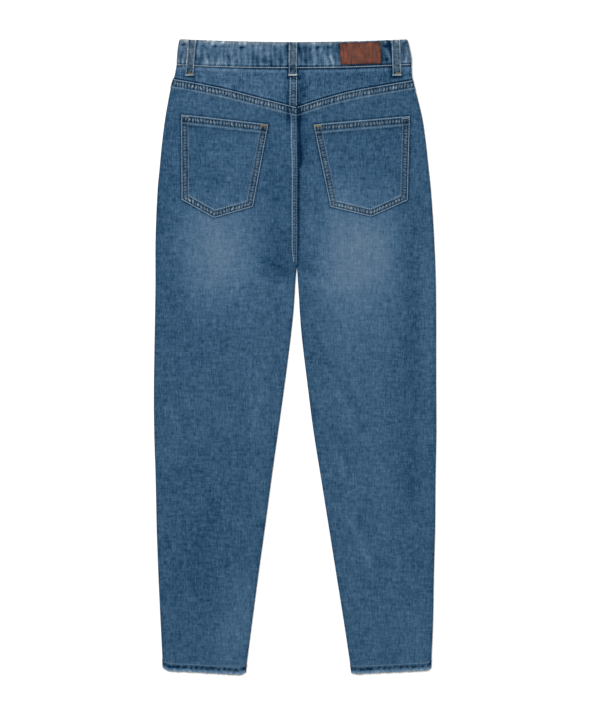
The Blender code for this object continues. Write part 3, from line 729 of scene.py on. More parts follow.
@dataclass(frozen=True)
class FrontWashAndShade:
    """Relief, wash and painted edge shade of the front, which lies on the surface: flat, with thigh fades."""

    base: float = 0.42
    fades: tuple[Fade, ...] = table(
        Fade,
        (-118, 360, 60, 150, 0.24), (112, 360, 62, 150, 0.24), (-110, 700, 50, 90, 0.08),
        (112, 700, 50, 90, 0.08),
    )

    def look(self, side: Side, x: float, drop: float) -> Look:
        """What the front shows at a place in plan."""
        out, _, into, _ = JEANS.edges(side, FRONT, x, drop)
        tone = self.base + sum(fade.at(x, drop) for fade in self.fades)
        # Painted shade along the outline's edges.
        tone += 0.04 * ripple(x / 22, drop / 40, 12.7) + shadow(out, 0.12, 4) + shadow(into, 0.10, 4)
        above = JEANS.hem_drop(side, x) - drop
        inside = 1 - smooth((above - JEANS.hem_depth) / 1.5)
        return Look(0.0, tone, inside, 0.2 * inside, x, above / JEANS.hem_depth)


FRONT_WASH_AND_SHADE = FrontWashAndShade()


@dataclass
class Sample:
    """One place on a cloth wall: its two points, its place in the cloth and its look."""

    outer: Vector
    inner: Vector
    cloth: Plan
    look: Look


def panel_sample(side: Side, face: Face, x: float, drop: float, wall: float, inset: float = 0.0) -> Sample:
    """A sample of a leg, a yoke or a facing at a place in plan.

    Args:
        side: The leg.
        face: The back or the front.
        x: The place across.
        drop: The place down the garment.
        wall: The cloth's thickness.
        inset: How far the piece lies inside the outer panels.

    Returns:
        The sample.
    """
    point, normal = JEANS.skin(side, face, x, drop, inset)
    look = (BACK_WASH_AND_SHADE if face is BACK else FRONT_WASH_AND_SHADE).look(side, x, drop)
    return Sample(point + normal * look.height, point - normal * wall, (x, -drop), look)


def on_back(x: float, drop: float) -> Spot:
    """The back's outer face at a place in plan, with its relief."""
    side = RIGHT if x > JEANS.centre[BACK](drop) else LEFT
    if drop > JEANS.crotch:
        middle = (JEANS.inseam[LEFT](drop) + JEANS.inseam[RIGHT](drop)) / 2
        side = RIGHT if x > middle else LEFT
    point, normal = JEANS.skin(side, BACK, x, drop)
    return point + normal * BACK_WASH_AND_SHADE.look(side, x, drop).height, normal


def on_front(x: float, drop: float) -> Spot:
    """The front's outer face at a place in plan."""
    side = RIGHT if x > JEANS.centre[FRONT](drop) else LEFT
    if drop > JEANS.crotch:
        side = RIGHT if x > 0 else LEFT
    return JEANS.skin(side, FRONT, x, drop)


def deselect() -> None:
    """Deselects everything, so that operators act on new pieces alone."""
    for obj in bpy.context.selected_objects:
        obj.select_set(False)


def mesh_object(
    name: str, points: np.ndarray, faces: Sequence[Sequence[int]], *materials: Material
) -> Object:
    """An object from points in millimetres and faces.

    Args:
        name: The object's name.
        points: The points, a row each.
        faces: The corners of each face.
        materials: The materials, in the order of their slots.

    Returns:
        The object, smooth but for its sharp edges.
    """
    mesh = bpy.data.meshes.new(name)
    mesh.from_pydata((points * MM).tolist(), [], faces)
    for material in materials:
        mesh.materials.append(material)
    mesh.shade_smooth()
    mesh.set_sharp_from_angle(angle=math.radians(50))
    obj = bpy.data.objects.new(name, mesh)
    bpy.context.scene.collection.objects.link(obj)
    return obj


def dress(mesh: bpy.types.Mesh, cloth: Sequence[Plan], looks: Sequence[Look]) -> None:
    """Writes on a mesh each point's place in the cloth and in its seam, its wear and its painted shade.

    Args:
        mesh: The mesh, whose points run through the lists once or more.
        cloth: The places in the cloth.
        looks: The looks. Their tone, rope, grey and grain go into one attribute.
    """
    corners = np.empty(len(mesh.loops), dtype=np.int32)
    mesh.loops.foreach_get("vertex_index", corners)
    corners %= len(looks)
    seam = np.array([(look.along * MM, look.across) for look in looks])
    for layer, values in (("cloth", np.array(cloth) * MM), ("seam", seam)):
        mesh.uv_layers.new(name=layer).data.foreach_set("uv", values[corners].astype(np.float32).ravel())
    wear_and_shade = [(look.tone, look.rope, look.grey, look.grain) for look in looks]
    wear_and_shade *= len(mesh.vertices) // len(looks)
    attribute = mesh.attributes.new("wear_and_shade", "FLOAT_COLOR", "POINT")
    attribute.data.foreach_set("color", np.array(wear_and_shade, dtype=np.float32).ravel())


def cloth_wall(name: str, grid: list[list[Sample]], outside: Material, inside: Material) -> Object:
    """A closed wall of cloth from a grid of samples.

    Args:
        name: The object's name.
        grid: The samples, rows by columns.
        outside: The finish of the outer face and of the edges.
        inside: The finish of the inner face.

    Returns:
        The wall.
    """
    flat = [sample for row in grid for sample in row]
    size = len(flat)
    points = np.array([s.outer for s in flat] + [s.inner for s in flat])
    index = np.arange(size).reshape(len(grid), -1)
    around = (index[:-1, :-1], index[:-1, 1:], index[1:, 1:], index[1:, :-1])
    quads = np.stack(around, axis=-1).reshape(-1, 4)
    ring = [*index[0], *index[1:, -1], *index[-1, -2::-1], *index[-2:0:-1, 0]]
    edge = [(b, a, a + size, b + size) for a, b in zip(ring, ring[1:] + ring[:1])]
    a, b, c = (points[quads[len(quads) // 2][k]] for k in range(3))
    middle_inner = points[quads[len(quads) // 2][0] + size]
    if np.dot(np.cross(b - a, c - a), a - middle_inner) < 0:
        quads = quads[:, ::-1]
        edge = [face[::-1] for face in edge]
    faces = quads.tolist() + (quads[:, ::-1] + size).tolist() + [[int(k) for k in face] for face in edge]
    obj = mesh_object(name, points, faces, outside, inside)
    material_index = np.zeros(len(faces), dtype=np.int32)
    material_index[len(quads) : 2 * len(quads)] = 1
    obj.data.polygons.foreach_set("material_index", material_index)
    dress(obj.data, [s.cloth for s in flat], [s.look for s in flat])
    return obj


def srgb(red: float, green: float, blue: float) -> Colour:
    """A colour given by its screen values from 0 to 255, as the shader's own numbers."""
    def channel(value: float) -> float:
        """One channel of it."""
        share = value / 255
        return share / 12.92 if share <= 0.04045 else ((share + 0.055) / 1.055) ** 2.4

    return channel(red), channel(green), channel(blue), 1.0


Input = float | tuple | Socket
Inputs = dict[str | int, Input]


class Graph:
    """Adds linked nodes to a material or a node group."""

    def __init__(self, tree: bpy.types.NodeTree) -> None:
        """Takes the tree that the nodes go in."""
        self.tree = tree

    def feed(self, node: bpy.types.Node, inputs: Inputs) -> None:
        """Puts values or links on a node's inputs."""
        for key, value in inputs.items():
            if isinstance(value, Socket):
                self.tree.links.new(value, node.inputs[key])
            else:
                node.inputs[key].default_value = value

    def node(self, kind: str, inputs: Inputs | None = None, **settings: object) -> bpy.types.Node:
        """A node with its settings, and with values or links on its inputs.

        Args:
            kind: The node's type.
            inputs: What each input gets.
            settings: The node's own properties.

        Returns:
            The node.
        """
        made = self.tree.nodes.new(kind)
        for name, value in settings.items():
            setattr(made, name, value)
        self.feed(made, inputs or {})
        return made

    def math(self, operation: str, *values: Input) -> Socket:
        """The result of a Math node."""
        return self.node("ShaderNodeMath", dict(enumerate(values)), operation=operation).outputs[0]

    def scaled(self, value: Input, factor: Input) -> Socket:
        """One value times another."""
        return self.math("MULTIPLY", value, factor)

    def total(self, *values: Input) -> Socket:
        """The sum of two or more values."""
        found = values[0]
        for value in values[1:]:
            found = self.math("ADD", found, value)
        return found

    def clamped(self, value: Input) -> Socket:
        """A value kept between 0 and 1."""
        return self.math("MINIMUM", self.math("MAXIMUM", value, 0.0), 1.0)

    def split(self, vector: Input) -> bpy.types.bpy_prop_collection:
        """The parts of a vector."""
        return self.node("ShaderNodeSeparateXYZ", {0: vector}).outputs

    def texture(self, vector: Input, scale: tuple[float, float, float], detail: float = 2.0) -> Socket:
        """Noise between about -1 and 1 with its own number of grains per metre along each axis."""
        sized = self.node("ShaderNodeVectorMath", {0: vector, 1: scale}, operation="MULTIPLY").outputs[0]
        grain = self.node("ShaderNodeTexNoise", {"Vector": sized, "Scale": 1.0, "Detail": detail}).outputs[0]
        return self.scaled(self.math("SUBTRACT", grain, 0.5), 3.2)

    def ramp(self, value: Input, stops: Sequence[tuple[float, Colour]]) -> Socket:
        """The colour that a Color Ramp gives a value."""
        made = self.node("ShaderNodeValToRGB", {0: value})
        elements = made.color_ramp.elements
        while len(elements) < len(stops):
            elements.new(0.5)
        for element, (place, colour) in zip(elements, stops):
            element.position = place
            element.color = colour
        return made.outputs[0]

    def mixed(self, share: Input, first: Input, second: Input) -> Socket:
        """Two colours mixed."""
        return self.node("ShaderNodeMix", {0: share, 6: first, 7: second}, data_type="RGBA").outputs[2]

    def bump(self, height: Input, distance: float) -> Socket:
        """The normal that a height in units of a distance gives."""
        return self.node("ShaderNodeBump", {"Height": height, "Distance": distance}).outputs[0]

    def group(self, tree: bpy.types.NodeTree, inputs: Inputs) -> bpy.types.bpy_prop_collection:
        """The outputs of a node that places a group."""
        made = self.node("ShaderNodeGroup", node_tree=tree)
        self.feed(made, inputs)
        return made.outputs


def shaded(name: str) -> tuple[Material, Graph, bpy.types.Node]:
    """A new material, a graph that adds nodes to it, and its shader."""
    made = bpy.data.materials.new(name)
    made.use_nodes = True
    return made, Graph(made.node_tree), made.node_tree.nodes["Principled BSDF"]


SOCKETS = {"float": "NodeSocketFloat", "vector": "NodeSocketVector", "colour": "NodeSocketColor"}


def node_group(
    name: str, inputs: dict[str, str], outputs: dict[str, str]
) -> tuple[Graph, bpy.types.bpy_prop_collection, bpy.types.Node]:
    """An empty shader node group with its sockets.

    Args:
        name: The group's name.
        inputs: The kind of each input socket.
        outputs: The kind of each output socket.

    Returns:
        A graph that adds nodes to the group, what the group is given, and its output node.
    """
    tree = bpy.data.node_groups.new(name, "ShaderNodeTree")
    for direction, sockets in (("INPUT", inputs), ("OUTPUT", outputs)):
        for socket, kind in sockets.items():
            tree.interface.new_socket(name=socket, in_out=direction, socket_type=SOCKETS[kind])
    graph = Graph(tree)
    return graph, graph.node("NodeGroupInput").outputs, graph.node("NodeGroupOutput")


class Effects:
    """The shader node groups that the finishes share."""

    def __init__(self) -> None:
        """Builds each group once."""
        self.twill = self.make_twill()
        self.slub = self.make_slub()
        self.rope = self.make_rope()
        self.indigo = self.make_indigo()

    @staticmethod
    def make_twill() -> bpy.types.NodeTree:
        """Twill weave: steep diagonal ribs crossed by the weft."""
        sockets = {"Place": "vector", "Pitch": "float"}
        graph, given, out = node_group("Twill weave", sockets, {"Height": "float"})
        parts = graph.split(given["Place"])
        slant = graph.total(graph.scaled(parts[0], 0.89), graph.scaled(parts[1], -0.45))
        wander = graph.scaled(graph.texture(given["Place"], (420, 420, 420), 1.0), 0.00012)
        turn = graph.math("DIVIDE", graph.total(slant, wander), given["Pitch"])
        rib = graph.math("SINE", graph.scaled(turn, 2 * math.pi))
        cross = graph.math("DIVIDE", parts[1], graph.scaled(given["Pitch"], 0.8))
        weft = graph.math("SINE", graph.scaled(cross, 2 * math.pi))
        graph.feed(out, {"Height": graph.total(graph.scaled(rib, 0.7), graph.scaled(weft, 0.3))})
        return graph.tree

    @staticmethod
    def make_slub() -> bpy.types.NodeTree:
        """Slub streaks of uneven yarn along both threads, and the mottle of the wash."""
        results = {"Streak": "float", "Mottle": "float"}
        graph, given, out = node_group("Slub streaks", {"Place": "vector"}, results)
        place = given["Place"]
        yarns = (
            (graph.texture(place, (500, 150, 1), 1.0), 0.56),
            (graph.texture(place, (520, 34, 1), 1.0), 0.30),
            (graph.texture(place, (90, 480, 1), 1.0), 0.34),
            (graph.texture(place, (190, 60, 1), 1.0), 0.24),
            (graph.texture(place, (50, 200, 1), 1.0), 0.26),
        )
        streak = graph.total(*(graph.scaled(yarn, share) for yarn, share in yarns))
        coarse = graph.texture(place, (150, 110, 1), 3.0)
        mottle = graph.scaled(graph.total(coarse, graph.texture(place, (430, 430, 1), 2.0)), 0.6)
        graph.feed(out, {"Streak": streak, "Mottle": mottle})
        return graph.tree

    @staticmethod
    def make_rope() -> bpy.types.NodeTree:
        """Rungs along a seam: worn, light ridges and dark hollows where the thread pulls."""
        sockets = {"Seam": "vector", "Mask": "float"}
        results = {"Tone": "float", "Height": "float", "Grey": "float"}
        graph, given, out = node_group("Seam rope", sockets, results)
        parts = graph.split(given["Seam"])
        wander = graph.scaled(graph.texture(given["Seam"], (60, 1.5, 1), 1.0), 0.55)
        turns = graph.total(graph.scaled(parts[0], 200.0), graph.scaled(parts[1], 0.15), wander)
        wave = graph.math("SINE", graph.scaled(turns, 2 * math.pi))
        pull = graph.math("POWER", graph.math("SUBTRACT", 0.5, graph.scaled(wave, 0.5)), 2.5)
        block = graph.math("SUBTRACT", 0.66, graph.scaled(pull, 1.92))
        lump = graph.texture(given["Seam"], (330, 2.6, 1), 2.0)
        bar = graph.total(graph.scaled(block, 0.62), graph.scaled(lump, 0.72))
        tone = graph.scaled(bar, given["Mask"])
        hollow = graph.scaled(graph.math("MAXIMUM", graph.scaled(bar, -1.0), 0.0), given["Mask"])
        graph.feed(out, {"Tone": tone, "Height": tone, "Grey": hollow})
        return graph.tree

    @staticmethod
    def make_indigo() -> bpy.types.NodeTree:
        """Indigo's colour for a tone of wash and painted shade, with grey where the blue has gone."""
        sockets = {"Wash and shade": "float", "Grey": "float"}
        graph, given, out = node_group("Faded indigo", sockets, {"Color": "colour"})
        blue = graph.ramp(
            given["Wash and shade"],
            (
                (0.0, srgb(0, 27, 53)),
                (0.2, srgb(26, 58, 84)),
                (0.4, srgb(57, 87, 113)),
                (0.6, srgb(83, 110, 136)),
                (0.8, srgb(121, 144, 164)),
                (1.0, srgb(175, 187, 198)),
            ),
        )
        grey = graph.ramp(
            given["Wash and shade"],
            (
                (0.0, srgb(5, 29, 47)),
                (0.3, srgb(55, 74, 89)),
                (0.6, srgb(98, 110, 121)),
                (1.0, srgb(184, 188, 188)),
            ),
        )
        graph.feed(out, {"Color": graph.mixed(graph.clamped(given["Grey"]), blue, grey)})
        return graph.tree


@dataclass(frozen=True)
class DenimFinish:
    """One denim: how it differs from the plain leg in tone, texture and puckers."""

    name: str
    tone: float = 0.0
    grey: float = 0.0
    streak: float = 0.205
    mottle: float = 0.04
    rope: float = 0.48
    rope_height: float = 0.16
    weave: float = 0.06
    pitch: float = 0.0011
    roughness: float = 0.92
    sheen: float = 0.03

    def material(self, effects: Effects) -> Material:
        """The finish as a material."""
        made, graph, shader = shaded(self.name)
        cloth = graph.node("ShaderNodeUVMap", uv_map="cloth").outputs[0]
        seam = graph.node("ShaderNodeUVMap", uv_map="seam").outputs[0]
        wear_and_shade = graph.node("ShaderNodeAttribute", attribute_name="wear_and_shade").outputs
        # The first channel is the tone: the cloth's wash with painted shade added.
        base_tone, rope_share, grey = graph.node("ShaderNodeSeparateColor", {0: wear_and_shade["Color"]}).outputs
        twill = graph.group(effects.twill, {"Place": cloth, "Pitch": self.pitch})["Height"]
        slub = graph.group(effects.slub, {"Place": cloth})
        rope = graph.group(effects.rope, {"Seam": seam, "Mask": rope_share})
        grain = graph.total(
            graph.scaled(slub["Streak"], self.streak),
            graph.scaled(slub["Mottle"], self.mottle),
            graph.scaled(twill, self.weave),
        )
        grain = graph.scaled(grain, wear_and_shade["Alpha"])
        tone = graph.total(base_tone, grain, graph.scaled(rope["Tone"], self.rope), self.tone)
        less_blue = graph.total(grey, graph.scaled(rope["Grey"], 0.3), self.grey)
        height = graph.total(
            graph.scaled(twill, 0.035),
            graph.scaled(slub["Streak"], 0.06),
            graph.scaled(rope["Height"], self.rope_height),
        )
        graph.feed(shader, {
            "Base Color": graph.group(effects.indigo, {"Wash and shade": tone, "Grey": less_blue})["Color"],
            "Roughness": graph.total(graph.scaled(twill, 0.04), self.roughness),
            "Normal": graph.bump(height, MM),
            "Sheen Weight": self.sheen,
            "Sheen Roughness": 0.5,
            "Specular IOR Level": 0.06,
        })
        return made


@dataclass(frozen=True)
class ThreadFinish:
    """Sewing thread: its colour and the darker twist of its plies."""

    name: str
    colour: Colour
    dark: Colour

    def material(self) -> Material:
        """The finish as a material."""
        made, graph, shader = shaded(self.name)
        place = graph.node("ShaderNodeTexCoord").outputs["Object"]
        age = graph.texture(place, (90, 90, 90), 2.0)
        twist = {"Vector": place, "Scale": 900.0, "Distortion": 2.0}
        ply = graph.node("ShaderNodeTexWave", twist, bands_direction="DIAGONAL").outputs[1]
        share = graph.clamped(graph.total(graph.scaled(ply, 0.35), graph.scaled(age, 0.22), 0.12))
        graph.feed(shader, {
            "Base Color": graph.mixed(share, self.colour, self.dark),
            "Normal": graph.bump(ply, 0.00012),
            "Roughness": 0.7,
        })
        return made


@dataclass(frozen=True)
class LeatherFinish:
    """The patch: grained leather with darker edges and rubbed places."""

    name: str = "patch leather"

    def material(self) -> Material:
        """The finish as a material."""
        made, graph, shader = shaded(self.name)
        cloth = graph.node("ShaderNodeUVMap", uv_map="cloth").outputs[0]
        wear_and_shade = graph.node("ShaderNodeAttribute", attribute_name="wear_and_shade").outputs["Color"]
        base_tone = graph.node("ShaderNodeSeparateColor", {0: wear_and_shade}).outputs[0]
        cells = {"Vector": cloth, "Scale": 1100.0}
        grain = graph.node("ShaderNodeTexVoronoi", cells, feature="DISTANCE_TO_EDGE").outputs[0]
        patches = graph.texture(cloth, (70, 110, 1), 3.0)
        streaks = graph.texture(cloth, (360, 60, 1), 2.0)
        share = graph.total(
            base_tone, graph.scaled(patches, 0.18), graph.scaled(streaks, 0.34), graph.scaled(grain, 0.25)
        )
        browns = (
            (0.0, srgb(44, 20, 16)),
            (0.35, srgb(84, 45, 33)),
            (0.65, srgb(116, 62, 46)),
            (1.0, srgb(152, 94, 72)),
        )
        height = graph.total(graph.math("MINIMUM", grain, 0.25), graph.scaled(patches, 0.2))
        graph.feed(shader, {
            "Base Color": graph.ramp(share, browns),
            "Roughness": graph.total(graph.scaled(patches, 0.08), 0.62),
            "Normal": graph.bump(height, 0.00035),
            "Specular IOR Level": 0.2,
        })
        return made


@dataclass(frozen=True)
class BrassFinish:
    """Aged brass with rubbed high places."""

    name: str = "aged brass"

    def material(self) -> Material:
        """The finish as a material."""
        made, graph, shader = shaded(self.name)
        place = graph.node("ShaderNodeTexCoord").outputs["Object"]
        stain = graph.texture(place, (240, 240, 240), 3.0)
        browns = ((0.0, srgb(86, 62, 40)), (0.5, srgb(150, 116, 72)), (1.0, srgb(196, 164, 110)))
        graph.feed(shader, {
            "Base Color": graph.ramp(graph.total(graph.scaled(stain, 0.35), 0.5), browns),
            "Roughness": graph.total(graph.scaled(stain, 0.12), 0.36),
            "Metallic": 1.0,
        })
        return made


class Finishes:
    """All materials, made once."""

    def __init__(self) -> None:
        """Builds the shared groups and then each material."""
        effects = Effects()
        denims = (
            DenimFinish("leg denim"),
            DenimFinish("yoke denim", streak=0.25, mottle=0.055),
            DenimFinish("pocket denim", streak=0.22, mottle=0.05, rope=0.42),
            DenimFinish("waistband denim", grey=0.12, mottle=0.08, rope=0.16, streak=0.23),
            DenimFinish("belt loop denim", grey=0.12, streak=0.30, rope=0.12),
            DenimFinish("denim wrong side", tone=0.30, grey=0.25, rope=0.0),
        )
        made = (denim.material(effects) for denim in denims)
        self.leg, self.yoke, self.pocket, self.band, self.loop, self.inside = made
        threads = (
            ThreadFinish("pale thread", srgb(178, 192, 198), srgb(96, 116, 134)),
            ThreadFinish("faded thread", srgb(128, 148, 162), srgb(70, 92, 114)),
            ThreadFinish("cream thread", srgb(206, 208, 198), srgb(120, 132, 140)),
            ThreadFinish("tan thread", srgb(132, 108, 76), srgb(48, 54, 62)),
            ThreadFinish("olive thread", srgb(132, 126, 88), srgb(44, 58, 66)),
        )
        self.pale, self.faded, self.cream, self.tan, self.olive = (thread.material() for thread in threads)
        self.leather = LeatherFinish().material()
        self.brass = BrassFinish().material()


@dataclass(frozen=True)
class CutSize:
    """The flat cut of a cloth piece, in metres and square metres."""

    width: float
    length: float
    area: float


def declare(
    obj: Object, cut: CutSize | None, rests_on: Sequence[str], *nodes: str, slot: str = "denim"
) -> None:
    """Attaches a piece to the root body, hides the solids that it stands for and logs its faces.

    Args:
        obj: The piece.
        cut: Not used.
        rests_on: Not used.
        nodes: The solids that it stands for.
        slot: Not used.
    """
    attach(obj, "root")
    if nodes:
        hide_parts(*nodes)
    LOG.info("%s: %d faces", obj.name, len(obj.data.polygons))


WORDS = {LEFT: "left", RIGHT: "right"}


@dataclass
class Panels:
    """The legs, yokes and front pocket facings."""

    finishes: Finishes
    fine: float = 1.75
    front_pitch: float = 9.0
    front_columns: float = 6.0
    facing_overlap: float = 12.0
    facing_wall: float = 1.0

    def levels(self, start: float, end: float, coarse: float = 3.9, fine: float = 1.5) -> list[float]:
        """Row levels from start to end: fine on the seat, closer at the crotch, coarse on the legs."""
        near = JEANS.crotch
        found = steps(start, near - 5, fine)
        found += steps(near - 5, near, 0.9)
        found += steps(near, near + 8, 1.3)
        found += steps(near + 8, end, coarse)
        return found

    def samples(self, side: Side, face: Face, row: list[Plan], scooped: bool = False) -> list[Sample]:
        """A row's samples, with its ends moved onto the outline at their own drop."""
        first, last = row[0], row[-1]
        shift_in = JEANS.inner_x(side, face, last[1]) - last[0]
        shift_out = 0.0 if scooped else JEANS.side_x(side, first[1]) - first[0]
        width = last[0] - first[0]
        row = [(x + mix(shift_out, shift_in, (x - first[0]) / width), drop) for x, drop in row]
        return [panel_sample(side, face, x, drop, JEANS.denim) for x, drop in row]

    def slant(self, side: Side, x: float, level: float) -> float:
        """How far a row at this level leans with the hem below it."""
        hem = JEANS.hems[side].inner
        share = smooth((level - (hem - JEANS.hem_fade)) / JEANS.hem_fade)
        return (JEANS.hem_drop(side, x) - hem) * share

    def build_back(self, side: Side) -> None:
        """A back leg, from the yoke seam to the hem."""
        middle, hem = JEANS.yoke_middle, JEANS.hems[side].inner
        below_seam = (0.3, 0.9, 1.6, 2.4, 3.2, 4.1, 5.0, 6.0, 7.0, 8.0, 9.0, 10.0, 11.0)
        below_seam += (11.9, 12.7, 13.5, 14.3, 15.1, 15.9, 16.8)
        above_edge = (13.5, 12.5, 11.6, 10.6, 9.4, 8.2, 7, 5.8, 4.6, 3.4, 2.4, 1.6, 1.0, 0.5, 0.0)
        levels = [middle + below for below in below_seam]
        levels += self.levels(middle + 18, hem - above_edge[0])
        levels += [hem - above for above in above_edge]
        grid = []
        for level in levels:
            leaning = 1 - smooth((level - 125) / 230)
            across = level - (middle - JEANS.yoke_side[side]) * leaning
            row = []
            for x in JEANS.columns(side, BACK, across, self.fine):
                lean = (middle - JEANS.yoke_drop(x)) * leaning
                row.append((x, level - lean + self.slant(side, x, level)))
            grid.append(self.samples(side, BACK, row))
        word = WORDS[side]
        obj = cloth_wall(f"denim_back_leg_{word}", grid, self.finishes.leg, self.finishes.inside)
        declare(obj, CutSize(0.236, 0.955, 0.168), [f"denim_front_leg_{word}"], f"back_leg_{word}")

    def build_yoke(self, side: Side) -> None:
        """A yoke, between the waistband and the yoke seam."""
        foot = JEANS.band_foot[BACK]
        grid = []
        for share, shift in fan((0.0, 0.5, 1.1, 1.8, 2.6, 3.6, 4.8, 6.2), (4.0, 2.8, 1.8, 1.0, 0.4, 0.0), 26):
            row = []
            across = mix(foot.side, JEANS.yoke_side[side], share)
            for x in JEANS.columns(side, BACK, across, self.fine):
                row.append((x, mix(foot.drop(x) + JEANS.seam_gap, JEANS.yoke_drop(x), share) + shift))
            grid.append(self.samples(side, BACK, row))
        word = WORDS[side]
        obj = cloth_wall(f"denim_yoke_{word}", grid, self.finishes.yoke, self.finishes.inside)
        declare(obj, CutSize(0.200, 0.068, 0.0085), [f"denim_front_leg_{word}"], f"yoke_{word}")

    def scoop_in(self, level: float) -> float:
        """How far the front pocket's mouth lies from the side seam at a level."""
        share = (level - JEANS.band_foot[FRONT].side) / JEANS.scoop_depth
        return JEANS.scoop_width * math.sqrt(max(0.0, 1 - share * share))

    def build_front(self, side: Side) -> None:
        """A front leg, with the front pocket's scooped mouth cut out of it."""
        foot = JEANS.band_foot[FRONT]
        start = foot.side + JEANS.scoop_depth + JEANS.seam_gap
        hem = JEANS.hems[side].inner
        grid = []
        plan: list[tuple[float, float, float, bool]] = []
        for angle in (90, 82.5, 75, 67.5, 60, 52.5, 45, 37.5, 30, 22, 14):
            level = foot.side + JEANS.scoop_depth * math.cos(math.radians(angle))
            plan.append((level, JEANS.seam_gap, self.scoop_in(level), True))
        for level in (start, *self.levels(start + 6, hem - 12, self.front_pitch, self.front_pitch)):
            plan.append((level, 0.0, 0.0, False))
        for above in (11, 10, 8.6, 6, 3, 1, 0):
            plan.append((hem - above, 0.0, 0.0, False))
        for level, gap, edge_in, scooped in plan:
            row = []
            for x in JEANS.columns(side, FRONT, level, self.front_columns, edge_in):
                lean = (foot.drop(x) - foot.side) * (1 - smooth((level - foot.side) / 260))
                slant = 0.0 if scooped else self.slant(side, x, level)
                row.append((x, level + gap + lean + slant))
            grid.append(self.samples(side, FRONT, row, scooped))
        word = WORDS[side]
        obj = cloth_wall(f"denim_front_leg_{word}", grid, self.finishes.leg, self.finishes.inside)
        declare(obj, CutSize(0.240, 0.970, 0.178), ["floor"], f"front_leg_{word}")

    def build_facing(self, side: Side) -> None:
        """The piece inside a front pocket's mouth, from the side seam to under the front."""
        foot = JEANS.band_foot[FRONT]
        rounds = [JEANS.edge_round * (1 - math.cos(math.radians(a))) for a in (0, 30, 60, 90)]
        offsets = (*rounds, 8.0, 14.0, 25.0, 40.0, 60.0, 80.0, JEANS.scoop_width)
        offsets += (JEANS.scoop_width + self.facing_overlap,)
        grid = []
        for share in (0.0, 0.2, 0.4, 0.6, 0.8, 1.0):
            row = []
            for step in offsets:
                bow = math.sqrt(max(0.0, 1 - (step / JEANS.scoop_width) ** 2))
                x = JEANS.side_x(side, foot.side + share * JEANS.scoop_depth * bow) - side.value * step
                top = foot.drop(x) + JEANS.seam_gap
                under = self.facing_overlap * smooth((step - 25) / 15)
                low = max(foot.side + JEANS.scoop_depth * bow - 1.0 + under, top + self.facing_overlap)
                inset = (JEANS.denim + JEANS.seam_gap) * smooth((step - JEANS.edge_round) / 20)
                drop = mix(top, low, share)
                x = JEANS.side_x(side, drop) - side.value * step
                row.append(panel_sample(side, FRONT, x, drop, self.facing_wall, inset))
            grid.append(row)
        word = WORDS[side]
        obj = cloth_wall(f"denim_facing_{word}", grid, self.finishes.leg, self.finishes.inside)
        declare(obj, CutSize(0.122, 0.080, 0.0066), [f"denim_front_leg_{word}"], f"front_facing_{word}")

    def build(self) -> None:
        """Builds all of them."""
        for side in Side:
            self.build_front(side)
            self.build_facing(side)
            self.build_back(side)
            self.build_yoke(side)


